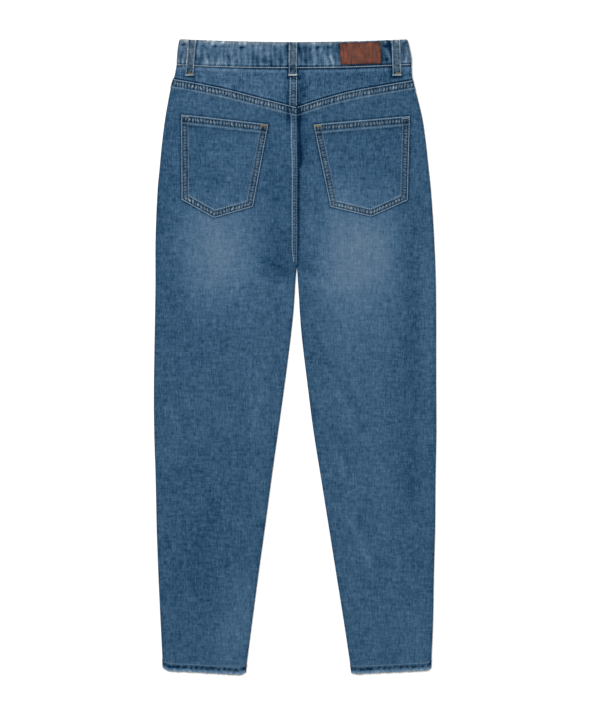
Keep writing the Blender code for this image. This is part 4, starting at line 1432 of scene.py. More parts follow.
@dataclass
class Waistband:
    """One strip round the waist, whose left end laps over its right end at the front."""

    finishes: Finishes
    cloth: float = 2.4
    bend: float = 4.4
    pitch: float = 2.0
    pucker_height: float = 0.42
    pucker_length: float = 9.2
    depth: float = 42.0
    fades: tuple[Fade, ...] = table(
        Fade,
        (-128, 8, 26, 10, 0.14), (-120, 34, 50, 12, 0.05), (-164, 14, 14, 16, 0.10),
        (60, 34, 60, 10, 0.05), (-84, 8, 22, 9, 0.16), (-40, 10, 30, 10, 0.04), (16, 28, 10, 22, -0.16),
        (24, 6, 10, 8, 0.14), (40, 14, 14, 20, 0.06), (146, 20, 11, 30, -0.17),
        (178, 10, 10, 14, -0.04),
    )
    underlap: float = 37.0

    def pucker(self, x: float, share: float) -> float:
        """The wash puckers across the back, strongest in the lower half, clear of the patch."""
        turn = x / self.pucker_length + 0.9 * ripple(x / 38, 0, 2.0) + 0.5 * ripple(x / 13, share * 2.4, 15.0)
        wave = 0.55 * math.sin(2 * math.pi * turn) + 1.1 * ripple(x / 6.5 + 1.4 * share, share * 2.6, 7.0)
        clear = smooth((abs(x - 104) - 34) / 8) * smooth((190 - abs(x)) / 8)
        return wave * clear * (0.45 + 0.45 * bell(share - 0.28, 0.26))

    def look(self, x: float, share: float, back: bool) -> Look:
        """The strip's relief, wear and painted shade: share runs from its foot to its top."""
        up = share * self.depth
        down = self.depth - up
        ends = smooth((abs(x) - 172) / 6)
        tone = 0.41 - 0.07 * share + 0.07 * ripple(x / 16, up / 9, 3.0) + 0.09 * ripple(x / 5, up / 4, 4.0)
        tone += 0.06 * ends
        worn = 0.7 + 0.9 * ripple(x / 6, 0, 8.0) + 0.5 * ripple(x / 2.6, down / 2, 9.0)
        top = bell(down - 2.2, 3.4)
        blotch = ripple(x / 7, up / 5, 11.0) - 0.05
        height = -0.25 * bell(up - 1.6, 0.7)
        tone += 0.29 * top * worn - 0.75 * max(0.0, blotch) * bell(down - 9.5, 4.5)
        inner = smooth((x + 150) / 150)
        tone += 0.10 * bell(up - 5.8, 1.6) - mix(0.16, 0.42, inner) * bell(up - mix(2.9, 3.6, inner), 1.0)
        # Painted shade along the strip's lower edge, where it steps down to the yoke.
        tone -= mix(0.0, 0.25, inner) * bell(up, 0.6)
        if back:
            wave = self.pucker(x, share)
            height += self.pucker_height * wave * smooth(up / 4) * smooth(down / 3)
            tone += 0.27 * wave + 0.16 * ripple(x / 11 + 0.8 * share, share * 1.7, 16.0)
            tone += sum(fade.at(x, down) for fade in self.fades)
            # Painted shade beside the belt loops.
            tone += sum(place.shade(x, down) for place in BACK_LOOPS)
            # Painted shadow round the leather patch.
            outside = -min(PATCH.distances(x, down + 2.5))
            tone += shadow(outside, 0.24, 1.7) * (outside > -1)
        return Look(height, tone, 0.35 * bell(up - 5, 5), 0.08 + 0.5 * top + 0.25 * ends, x, share)

    def point(
        self, across: float, angle: float, tuck: float, share: float, depth: float, lean: float
    ) -> Vector:
        """A point of the strip.

        Args:
            across: Where its path is across the garment, before the bend at a side.
            angle: The turn round the side, from -90 at the front to 90 at the back.
            tuck: How far the end under the fly lies inside.
            share: From the strip's foot to its top.
            depth: How deep the point is in the cloth.
            lean: How far it is moved down.

        Returns:
            The point.
        """
        turn = math.radians(angle)
        low = JEANS.band_face(FRONT)
        half = (JEANS.band_face(BACK) - low) / 2
        side = LEFT if across < 0 else RIGHT
        back_share = (math.sin(turn) + 1) / 2
        foots, tops = JEANS.band_foot, JEANS.band_top
        level = mix(foots[BACK].side, tops[BACK].side, share) + lean
        widen = JEANS.side_x(side, level) / JEANS.side_x(side, 20) if abs(across) > 60 else 1.0
        x = across * widen + side.value * self.bend * math.cos(turn)
        top = mix(tops[FRONT].drop(x), tops[BACK].drop(x), back_share)
        foot = mix(foots[FRONT].drop(x), foots[BACK].drop(x), back_share)
        drop = mix(foot, top, share) + lean
        normal = Vector((side.value * math.cos(turn) / self.bend, 0, math.sin(turn) / half)).normalized()
        z = low + half + half * math.sin(turn) + tuck
        return Vector((x, JEANS.length / 2 - drop, z)) - normal * depth

    def stations(self) -> list[tuple[float, float, float]]:
        """The strip's path: along the front, round the left side, over the back and round again."""
        end = JEANS.centre[FRONT](20) - JEANS.seam_gap / 2
        left = abs(JEANS.side_x(LEFT, 20)) - self.bend
        right = abs(JEANS.side_x(RIGHT, 20)) - self.bend
        path = [(x, -90.0, 0.0) for x in steps(end, -left, 8.0)]
        path += [(-left, float(angle), 0.0) for angle in range(-90, 90, 15)]
        path += [(x, 90.0, 0.0) for x in steps(-left, right, self.pitch)]
        path += [(right, float(angle), 0.0) for angle in range(90, -90, -15)]
        tuck = self.cloth + JEANS.seam_gap
        path += [(x, -90.0, 0.0) for x in steps(right, 46, 8.0)]
        rises = ((46, 0), (38, 0.15), (30, 0.5), (22, 0.85), (14, 1), (-8, 1))
        path += [(x, -90.0, tuck * rise) for x, rise in rises]
        path.append((end - self.underlap, -90.0, tuck))
        return path

    def build(self) -> None:
        """Builds the strip as a ring of points at each station of its path."""
        outer_shares = [0.0, 0.015, 0.03, 0.05, 0.07, 0.10, 0.14, 0.19, 0.24, 0.30, 0.36, 0.42, 0.48]
        outer_shares += [0.54, 0.60, 0.66, 0.72, 0.77, 0.82, 0.86, 0.90, 0.94, 0.97]
        ring_plan = [(share, 0.35 if share == 0 else 0.0, 0.0) for share in outer_shares]
        ring_plan += [(1.0, 0.2, 1.0), (1.0, 0.7, 0.25), (1.0, 1.2, 0.0), (1.0, 1.7, 0.25), (1.0, 2.2, 1.0)]
        ring_plan += [(0.5, self.cloth, 0.0), (0.0, self.cloth, 0.0), (0.0, 1.2, 0.0)]
        points, cloth, looks = [], [], []
        run = 0.0
        before = None
        for across, angle, tuck in self.stations():
            here = self.point(across, angle, tuck, 0.5, 0.0, 0.0)
            run += (here - before).length if before else 0.0
            before = here
            for share, depth, lean in ring_plan:
                look = self.look(here.x, share, angle > -30)
                relief = look.height if depth < 0.5 else 0.0
                frayed = 0.2 + 0.6 * ripple(here.x / 4.5, 0, 21.0) if share == 1.0 else 0.0
                points.append(self.point(across, angle, tuck, share, depth - relief, lean + frayed))
                cloth.append((run, share * self.depth + depth))
                looks.append(look)
        obj = ring_solid("denim_waistband", points, len(ring_plan), cloth, looks, self.finishes.band)
        legs = ["denim_front_leg_left", "denim_front_leg_right"]
        declare(obj, CutSize(0.797, 0.040, 0.0315), legs, "waistband")

    def on_back(self, x: float, drop: float) -> Spot:
        """The strip's back face at a place in plan."""
        foot, top = JEANS.band_foot[BACK].drop(x), JEANS.band_top[BACK].drop(x)
        share = (foot - drop) / (foot - top)
        height = JEANS.band_face(BACK) + self.look(x, share, True).height
        return Vector((x, JEANS.length / 2 - drop, height)), UP.copy()

    def on_front(self, x: float, drop: float) -> Spot:
        """The strip's front face at a place in plan."""
        return Vector((x, JEANS.length / 2 - drop, JEANS.band_face(FRONT))), -UP


def ring_solid(
    name: str, points: list[Vector], count: int, cloth: list[Plan], looks: list[Look], finish: Material
) -> Object:
    """A closed solid through rings of points, with flat ends.

    Args:
        name: The object's name.
        points: The points of all rings, one ring after another.
        count: The points in a ring.
        cloth: Each point's place in the cloth.
        looks: Each point's look.
        finish: The material.

    Returns:
        The solid.
    """
    rings = len(points) // count
    faces = []
    for i in range(rings - 1):
        for k in range(count):
            m = (k + 1) % count
            faces.append([i * count + k, i * count + m, (i + 1) * count + m, (i + 1) * count + k])
    faces.append(list(range(count)))
    faces.append([(rings - 1) * count + k for k in reversed(range(count))])
    array = np.array(points)
    volume = 0.0
    for first, second, third, fourth in (array[face] for face in faces[:-2]):
        volume += float(np.dot(first, np.cross(second, third) + np.cross(third, fourth)))
    if volume > 0:
        faces = [face[::-1] for face in faces]
    obj = mesh_object(name, array, faces, finish)
    dress(obj.data, cloth, looks)
    return obj


@dataclass
class BackPocket:
    """A back pocket: a turned hem at its mouth and turned, roped edges."""

    side: Side
    finishes: Finishes
    hem: float = 16.0
    hem_rise: float = 0.8
    turning: float = 12.4
    turning_rise: float = 0.5
    gape: float = 0.9
    row_in: float = 1.2
    inner_row: float = 11.6
    fades: tuple[Fade, ...] = table(
        Fade,
        (-85, 180, 34, 40, 0.06), (76, 250, 26, 34, 0.10), (150, 238, 16, 14, 0.05),
    )

    def look(self, x: float, drop: float) -> Look:
        """The pocket's relief over the panel's layer, its wear, and the painted shadow under its hem."""
        top, right, foot_right, foot_left, left = POCKETS[self.side].distances(x, drop)
        edge = min(right, foot_right, foot_left, left)
        along = drop if edge in (left, right) else x
        inside = 1 - smooth((edge - self.turning) / 1.2)
        in_hem = 1 - smooth((top - self.hem) / 1.1)
        height = max(self.turning_rise * inside, self.hem_rise * in_hem)
        height -= 0.45 * (1 - smooth(min(edge, top) / 1.2))
        for row in (1.2, 3.4, 11.6):
            height -= 0.13 * bell(edge - row, 0.9)
        for row in (1.5, 4.0, 13.8):
            height -= 0.13 * bell(top - row, 0.9)
        bar = ripple(along / 5.0, edge / 8, 14.0 + self.side.value)
        bar += 0.4 * ripple(along / 2.3, edge / 4, 17.0)
        bar_top = ripple(x / 4.6, top / 8, 24.0 + self.side.value)
        rungs = smooth((edge - 2.4) / 1.6) * (1 - smooth((edge - 8.4) / 1.6)) * (1 - in_hem)
        rungs_top = smooth((top - 3.0) / 1.6) * (1 - smooth((top - 9.6) / 1.6)) * in_hem
        height += 0.24 * bar * rungs + 0.26 * bar_top * rungs_top
        share = left / max(1.0, left + right)
        down = top / max(1.0, top + min(foot_left, foot_right))
        gape = self.gape * 4 * share * (1 - share) * max(0.0, 1 - 2.2 * down) ** 2
        height += gape + 0.15 * ripple(x / 30, drop / 40, 31.0)
        tone = 0.29 + 0.04 * ripple(x / 24, drop / 30, 2.2)
        tone += 0.07 * smooth((drop - 215) / 60) * (1 - inside)
        tone += sum(fade.at(x, drop) for fade in self.fades)
        # Darker and greyer round the mouth's corners, by the bar tacks.
        near_tacks = 1 - smooth((max(min(left, right) - 9, 0.6 * (top - 12)) - 1) / 4)
        tone -= 0.17 * near_tacks * (1 + 1.4 * ripple(x / 2.2, drop / 2.2, 37.0))
        tone += 0.03 * bell(share - 0.45, 0.35) * bell(down - 0.5, 0.4)
        tone += 0.05 * ripple(x / 7, drop / 12, 34.0)
        foot = 1.0 if edge in (foot_right, foot_left) else 0.55
        sides = 0.18 * foot * bell(edge - 0.8, 1.2) - 0.20 * bell(edge - 3.2, 1.1)
        sides += 0.12 * foot * bell(edge - 5.8, 2.4)
        sides += (0.22 * foot - 0.11) * bell(edge - 11.6, 1.7) - (0.05 + 0.13 * foot) * bell(edge - 8.8, 1.3)
        mouth = 0.22 * bell(top - 1.2, 1.4) - 0.22 * bell(top - 4.0, 1.2) + 0.06 * bell(top - 7.0, 3.0)
        mouth += 0.14 * bell(top - 13.6, 1.8) - 0.22 * bell(top - 10.2, 1.3)
        tone += mouth * in_hem + sides * (1 - in_hem)
        # Painted shadow on the pocket just below its hem's edge.
        tone += shadow(top - self.hem - 0.4, 0.16, 1.8) * (1 - in_hem)
        grey = 0.62 * max(rungs, rungs_top) + 0.4 * near_tacks + 0.12 * max(inside, in_hem)
        if in_hem > 0.5:
            return Look(height, tone, rungs_top, grey, x, top / self.hem)
        return Look(height, tone, rungs * foot, grey, along, edge / self.turning)

    def surface(self, x: float, drop: float) -> Spot:
        """The pocket's outer face at a place in plan."""
        height = JEANS.seam_gap + JEANS.denim + self.look(x, drop).height
        return on_back(x, drop)[0] + UP * height, UP.copy()

    def build(self) -> None:
        """Builds the pocket as a wall over the panel."""
        top_left, top_right, foot_right, tip, foot_left = (Vector(c) for c in POCKETS[self.side].corners)
        width = top_right.x - top_left.x
        tip_share = (tip.x - foot_left.x) / (foot_right.x - foot_left.x)
        edge = [0.0, 0.5, 1.1, 1.7, 2.4, 3.2, 4.0, 5.0, 6.0, 7.0, 8.0, 9.0, 10.0, 11.0, 12.0, 13.0]
        shares = [step / width for step in edge]
        inner = [mix(shares[-1], 1 - shares[-1], i / 46) for i in range(1, 46)]
        nearest = min(range(len(inner)), key=lambda k: abs(inner[k] - tip_share))
        inner[nearest] = tip_share
        shares += inner + [1 - share for share in reversed(shares)]
        top_rows = [0.0, 0.5, 1.1, 1.8, 2.6, 3.4, 4.2, 5.2, 6.2, 7.2, 8.2, 9.2, 10.2, 11.2, 12.2]
        top_rows += [13.0, 13.8, 14.6, 15.4, 16.2, 17.2, 18.5]
        grid = []
        for down, shift in fan(top_rows, edge[::-1], 44):
            row = []
            for share in shares:
                top = top_left.lerp(top_right, share)
                if share <= tip_share:
                    foot = foot_left.lerp(tip, share / tip_share)
                else:
                    foot = tip.lerp(foot_right, (share - tip_share) / (1 - tip_share))
                x, drop = top.lerp(foot, down + shift / (foot - top).length)
                base = on_back(x, drop)[0] + UP * JEANS.seam_gap
                look = self.look(x, drop)
                row.append(Sample(base + UP * (JEANS.denim + look.height), base, (x, -drop), look))
            grid.append(row)
        word = WORDS[self.side]
        obj = cloth_wall(f"denim_back_pocket_{word}", grid, self.finishes.pocket, self.finishes.inside)
        declare(obj, CutSize(0.156, 0.168, 0.0212), [f"denim_back_leg_{word}"], f"back_pocket_{word}")

    def inset(self, top: float, sides: float, foot: float | None = None) -> list[Plan]:
        """The pocket's corners, moved inwards from its mouth, its sides and its foot."""
        foot = sides if foot is None else foot
        return POCKETS[self.side].inset((top, sides, foot, foot, sides))

    def rows_of_stitches(self) -> list[list[Plan]]:
        """The paths of the pocket's topstitching."""
        a, b, c, d, e = self.inset(0.8, self.row_in)
        inner = self.inset(0.8, self.inner_row)
        return [[a, e, d, c, b], self.inset(1.5, self.row_in)[:2], [inner[4], inner[3], inner[2]]]

    def faded_rows(self) -> list[list[Plan]]:
        """The paths of the rows whose thread has taken the cloth's blue: the inner ones."""
        a, b, c, _, e = self.inset(0.8, self.inner_row)
        return [[a, e], [c, b], self.inset(13.9, self.row_in)[:2]]

    def bar_tacks(self) -> list[list[Plan]]:
        """The short bars sewn across the mouth's two corners, left and then right."""
        a, b, *_ = self.inset(3.4, self.row_in)
        c, d, *_ = self.inset(3.4, 12.6, self.row_in)
        return [[a, c], [d, b]]


@dataclass
class BeltLoop:
    """A belt loop, tacked at both ends, with room for a belt under its middle."""

    node: str
    face: Face
    place: LoopPlace
    finishes: Finishes
    foot_length: float = 60.0
    cloth: float = 1.6
    bow: float = 1.3

    def ends(self) -> tuple[float, float, float]:
        """The drops of its top, of the waistband's foot under it, and of its own foot."""
        top = JEANS.band_top[self.face].drop(self.place.top) + 0.6
        band_foot = JEANS.band_foot[self.face].drop(self.place.foot)
        return top, band_foot, band_foot + self.foot_length - JEANS.band_foot[BACK].drop(self.place.foot)

    def seat(self, x: float, drop: float) -> float:
        """Height of what the loop lies on."""
        _, band_foot, _ = self.ends()
        seat = JEANS.band_face(self.face)
        if drop <= band_foot + 2:
            return seat
        if self.face is FRONT:
            panel = JEANS.front_face(drop)
        else:
            panel = on_back(x, drop)[0].z + 0.25
        return mix(seat, panel, smooth((drop - band_foot - 1) / 4))

    def rise(self, drop: float) -> float:
        """How far the loop bows away from what it is tacked on."""
        top, _, foot = self.ends()
        return self.bow * smooth((drop - top) / 12) * smooth((foot - 3.5 - drop) / 9)

    def crown(self, x_offset: float, drop: float) -> Vector:
        """A point on the loop's face, at an offset from its own middle line."""
        top, _, foot = self.ends()
        share = (drop - top) / (foot - top)
        x = mix(self.place.top, self.place.foot, share)
        aside = self.place.width / 2 - abs(x_offset)
        face = self.cloth - 0.55 * (1 - smooth(aside / 1.1)) - 0.18 * bell(aside - 2.2, 0.8)
        face += 0.10 * ripple(x_offset / 3, drop / 5, 40.0)
        z = self.seat(x, drop) + self.face.value * (JEANS.seam_gap + self.rise(drop) + face)
        return Vector((x + x_offset, JEANS.length / 2 - drop, z))

    def look(self, x_offset: float, drop: float) -> Look:
        """The loop's wear, dark and greyed between its two light edges, and its painted shade."""
        top, _, foot = self.ends()
        aside = self.place.width / 2 - abs(x_offset)
        tone = 0.41 + 0.16 * ripple(x_offset / 1.6, drop / 9, 50.0 + self.place.top)
        tone += 0.18 * ripple(x_offset / 5, drop / 5, 51.0 + self.place.top)
        tone += 0.27 * bell(aside - 0.8, 1.2) + 0.14 * (1 - smooth((drop - top) / 3.5))
        tone -= 0.12 * bell(aside - 3.0, 1.1)
        spot = 0.6 + 1.4 * ripple(x_offset / 2.2, 0, 54.0 + self.place.top)
        tone -= 0.40 * max(0.0, spot) * bell(drop - foot + 5.4, 1.4) + 0.06 * bell(drop - foot + 9, 4)
        # Painted shade at the loop's foot, and across the crease where it bends over the waistband's lower
        # edge.
        tone -= 0.45 * bell(drop - foot + 0.3, 0.8) + self.place.crease * bell(drop - foot + 13, 5)
        grey = 0.30 + 0.5 * bell(x_offset, self.place.width / 3.4) + 0.3 * (1 - smooth((drop - top) / 4))
        return Look(0.0, tone, 0.5, grey, drop, aside / self.place.width * 2)

    def surface(self, x_offset: float, drop: float) -> Spot:
        """The loop's face at an offset from its own middle line, with its normal."""
        return self.crown(x_offset, drop), UP * self.face.value

    def build(self) -> None:
        """Builds the loop as rings along its length."""
        top, _, foot = self.ends()
        half = self.place.width / 2
        offsets = [-half, -half + 0.4, -half + 1.0, -half + 1.7, -half + 2.4, -half + 3.4, -half * 0.35, 0.0]
        offsets += [-offset for offset in reversed(offsets[:-1])]
        drops = [top, top + 0.4, top + 1.0, *steps(top + 1.8, foot - 1.8, 1.4)]
        drops += [foot - 1.8, foot - 1.0, foot - 0.4, foot]
        points, cloth, looks = [], [], []
        for drop in drops:
            end = min(drop - top, foot - drop)
            soft = 0.5 * (1 - smooth(end / 1.0))
            x = mix(self.place.top, self.place.foot, (drop - top) / (foot - top))
            spread = 1 + 0.10 * smooth((drop - foot + 5.0) / 1.5)
            for offset in offsets:
                point = self.crown(offset, drop)
                point.x = x + offset * spread
                points.append(point - UP * (self.face.value * soft))
                cloth.append((offset, -drop))
                looks.append(self.look(offset, drop))
            for offset in (half, half - 0.6, 0.0, -half + 0.6, -half):
                lift = 0.45 if abs(offset) == half else 0.0
                z = self.seat(x, drop) + self.face.value * (JEANS.seam_gap + self.rise(drop) + lift)
                points.append(Vector((x + offset * spread, JEANS.length / 2 - drop, z)))
                cloth.append((offset, -drop))
                looks.append(self.look(offset, drop))
        obj = ring_solid(f"denim_{self.node}", points, len(offsets) + 5, cloth, looks, self.finishes.loop)
        width = self.place.width * MM
        declare(obj, CutSize(width, 0.055, width * 0.0545), ["denim_waistband"], self.node)

    def rows_of_stitches(self) -> list[list[Plan]]:
        """The two rows along the loop, as offsets and drops."""
        top, _, foot = self.ends()
        aside = self.place.width / 2 - 1.3
        return [[(sign * aside, top + 1.2), (sign * aside, foot - 4.2)] for sign in (-1, 1)]

    def bar_tack(self, above: float = 2.1, share: float = 1.0) -> list[Plan]:
        """A bar across a share of the loop's width, at a distance above its foot."""
        _, _, foot = self.ends()
        half = self.place.width / 2 - 0.6
        return [(mix(half, -half, share), foot - above), (half, foot - above)]


@dataclass
class LeatherPatch:
    """The plain leather patch on the back of the waistband."""

    finishes: Finishes
    leather: float = 1.3

    def build(self) -> None:
        """Builds the patch as a wall over the band's face."""
        corners = [Vector(corner) for corner in PATCH.corners]
        edge = [0.0, 0.008, 0.02, 0.035, 0.05]
        shares = edge + [mix(0.05, 0.95, i / 30) for i in range(1, 30)] + [1 - share for share in edge[::-1]]
        grid = []
        for down in shares:
            row = []
            for share in shares:
                upper, lower = corners[0].lerp(corners[1], share), corners[3].lerp(corners[2], share)
                x, drop = upper.lerp(lower, down)
                aside = max(0.0, min(PATCH.distances(x, drop)))
                relief = -0.45 * (1 - smooth(aside / 1.3)) - 0.12 * bell(aside - 2.4, 0.7)
                relief += 0.10 * ripple(x / 18, drop / 12, 60.0)
                tone = 0.38 + 0.16 * ripple(x / 14, drop / 9, 61.0) + 0.14 * ripple(x / 4, drop / 14, 62.0)
                tone -= 0.30 * (1 - smooth(aside / 1.6)) + 0.10 * (1 - smooth(aside / 6))
                base = Vector((x, JEANS.length / 2 - drop, JEANS.band_face(BACK) + JEANS.seam_gap))
                row.append(Sample(base + UP * (self.leather + relief), base, (x, -drop), Look(relief, tone)))
            grid.append(row)
        obj = cloth_wall("leather_patch", grid, self.finishes.leather, self.finishes.leather)
        declare(obj, CutSize(0.0656, 0.0348, 0.00228), ["denim_waistband"], "patch", slot="patch_leather")


@dataclass
class Button:
    """The waist button's head, with a rolled rim and a sunk middle."""

    finishes: Finishes
    radius: float = 8.5
    depth: float = 2.3

    def build(self) -> None:
        """Models the head from a disc that is inset and moved, then bevelled."""
        tops, foots = JEANS.band_top[FRONT], JEANS.band_foot[FRONT]
        y = JEANS.length / 2 - (tops.drop(0) + foots.drop(0)) / 2
        top = JEANS.band_face(FRONT) - JEANS.seam_gap
        deselect()
        middle = (0, y * MM, (top - self.depth / 2) * MM)
        bpy.ops.mesh.primitive_cylinder_add(
            vertices=40, radius=self.radius * MM, depth=self.depth * MM, location=middle
        )
        obj = bpy.context.object
        obj.name = obj.data.name = "brass_button"
        bpy.ops.object.transform_apply(location=True, rotation=True, scale=True)
        for polygon in obj.data.polygons:
            polygon.select = polygon.normal.z < -0.9
        bpy.ops.object.mode_set(mode="EDIT")
        bpy.ops.mesh.select_mode(type="FACE")
        for thickness, rise in ((0.9, 0.0), (0.7, 0.55), (2.4, 0.0), (0.5, -0.3), (1.2, -0.05)):
            bpy.ops.mesh.inset(thickness=thickness * MM, depth=0)
            bpy.ops.transform.translate(value=(0, 0, rise * MM))
        bpy.ops.object.mode_set(mode="OBJECT")
        bevel = obj.modifiers.new("rim", "BEVEL")
        bevel.width = 0.35 * MM
        bevel.segments = 3
        bevel.limit_method = "ANGLE"
        bpy.ops.object.modifier_apply(modifier=bevel.name)
        bpy.ops.object.shade_smooth_by_angle(angle=math.radians(40))
        obj.data.materials.append(self.finishes.brass)
        declare(obj, None, (), "waist_button", slot="button_brass")


@dataclass
class Topstitch:
    """Sewing thread as separate stitches, each a copy of one that is modelled once."""

    stitch: float = 3.0
    gap: float = 0.55
    width: float = 0.84
    sunk: float = 0.10
    tack_pitch: float = 0.62
    tack_thread: float = 0.75

    def __post_init__(self) -> None:
        """Models the one stitch: a thread that is fat in its middle and dives at both ends."""
        deselect()
        bpy.ops.mesh.primitive_uv_sphere_add(segments=6, ring_count=5, radius=0.5)
        ball = bpy.context.object
        bpy.ops.object.mode_set(mode="EDIT")
        bpy.ops.mesh.select_all(action="SELECT")
        bpy.ops.transform.rotate(value=math.pi / 2, orient_axis="Y", center_override=(0, 0, 0))
        bpy.ops.object.mode_set(mode="OBJECT")
        self.form = np.array([vertex.co[:] for vertex in ball.data.vertices])
        self.faces = [list(polygon.vertices) for polygon in ball.data.polygons]
        bpy.data.objects.remove(ball)
        self.form[:, 2] -= 0.54 * self.form[:, 0] ** 2
        self.draws = random.Random(11)

    def along(self, path: Sequence[Plan], surface: Surface, pitch: float) -> list[Spot]:
        """Even places along a path on a surface."""
        places = []
        for (x0, d0), (x1, d1) in zip(path, path[1:]):
            count = max(1, round(math.hypot(x1 - x0, d1 - d0) / pitch))
            places += [surface(mix(x0, x1, i / count), mix(d0, d1, i / count)) for i in range(count)]
        places.append(surface(*path[-1]))
        return places

    def thread(
        self, name: str, frames: Sequence[tuple[Vector, Vector, Vector]], width: float, finish: Material
    ) -> None:
        """Joins copies of the stitch between pairs of points into one object.

        Args:
            name: The object's name.
            frames: The two ends and the outward normal of each stitch.
            width: The thread's width.
            finish: The thread's material.
        """
        points, faces = [], []
        for start, end, normal in frames:
            way = end - start
            across = normal.cross(way).normalized()
            up = way.cross(across).normalized()
            basis = np.array([way[:], (across * width)[:], (up * width)[:]])
            middle = np.array(((start + end) / 2 + normal * (width * 0.5 - self.sunk))[:])
            offset = len(points) * len(self.form)
            points.append(self.form @ basis + middle)
            faces += [[k + offset for k in face] for face in self.faces]
        declare(mesh_object(name, np.concatenate(points), faces, finish), None, ())

    def sew(self, name: str, runs: Sequence[Run], finish: Material) -> None:
        """Sews several rows as one joined object.

        Args:
            name: The object's name.
            runs: The path and the surface of each row.
            finish: The thread's material.
        """
        frames = []
        pitch = self.stitch + self.gap
        for path, surface in runs:
            places = self.along(path, surface, pitch)
            for (start, normal), (end, _) in zip(places, places[1:]):
                way = end - start
                trim = way * (self.gap / pitch / 2)
                drift = normal.cross(way).normalized() * self.draws.uniform(-0.12, 0.12)
                frames.append((start + trim + drift, end - trim - drift, normal))
        self.thread(name, frames, self.width, finish)

    def tack(self, name: str, bars: Sequence[Run], finish: Material, width: float) -> None:
        """Sews bar tacks of a width: close stitches across each bar's line."""
        frames = []
        for path, surface in bars:
            places = self.along(path, surface, self.tack_pitch)
            for (start, normal), (end, _) in zip(places, places[1:]):
                across = normal.cross(end - start).normalized() * (width / 2 + self.draws.uniform(-0.15, 0.2))
                frames.append((start - across, end + across, normal))
        self.thread(name, frames, self.tack_thread, finish)


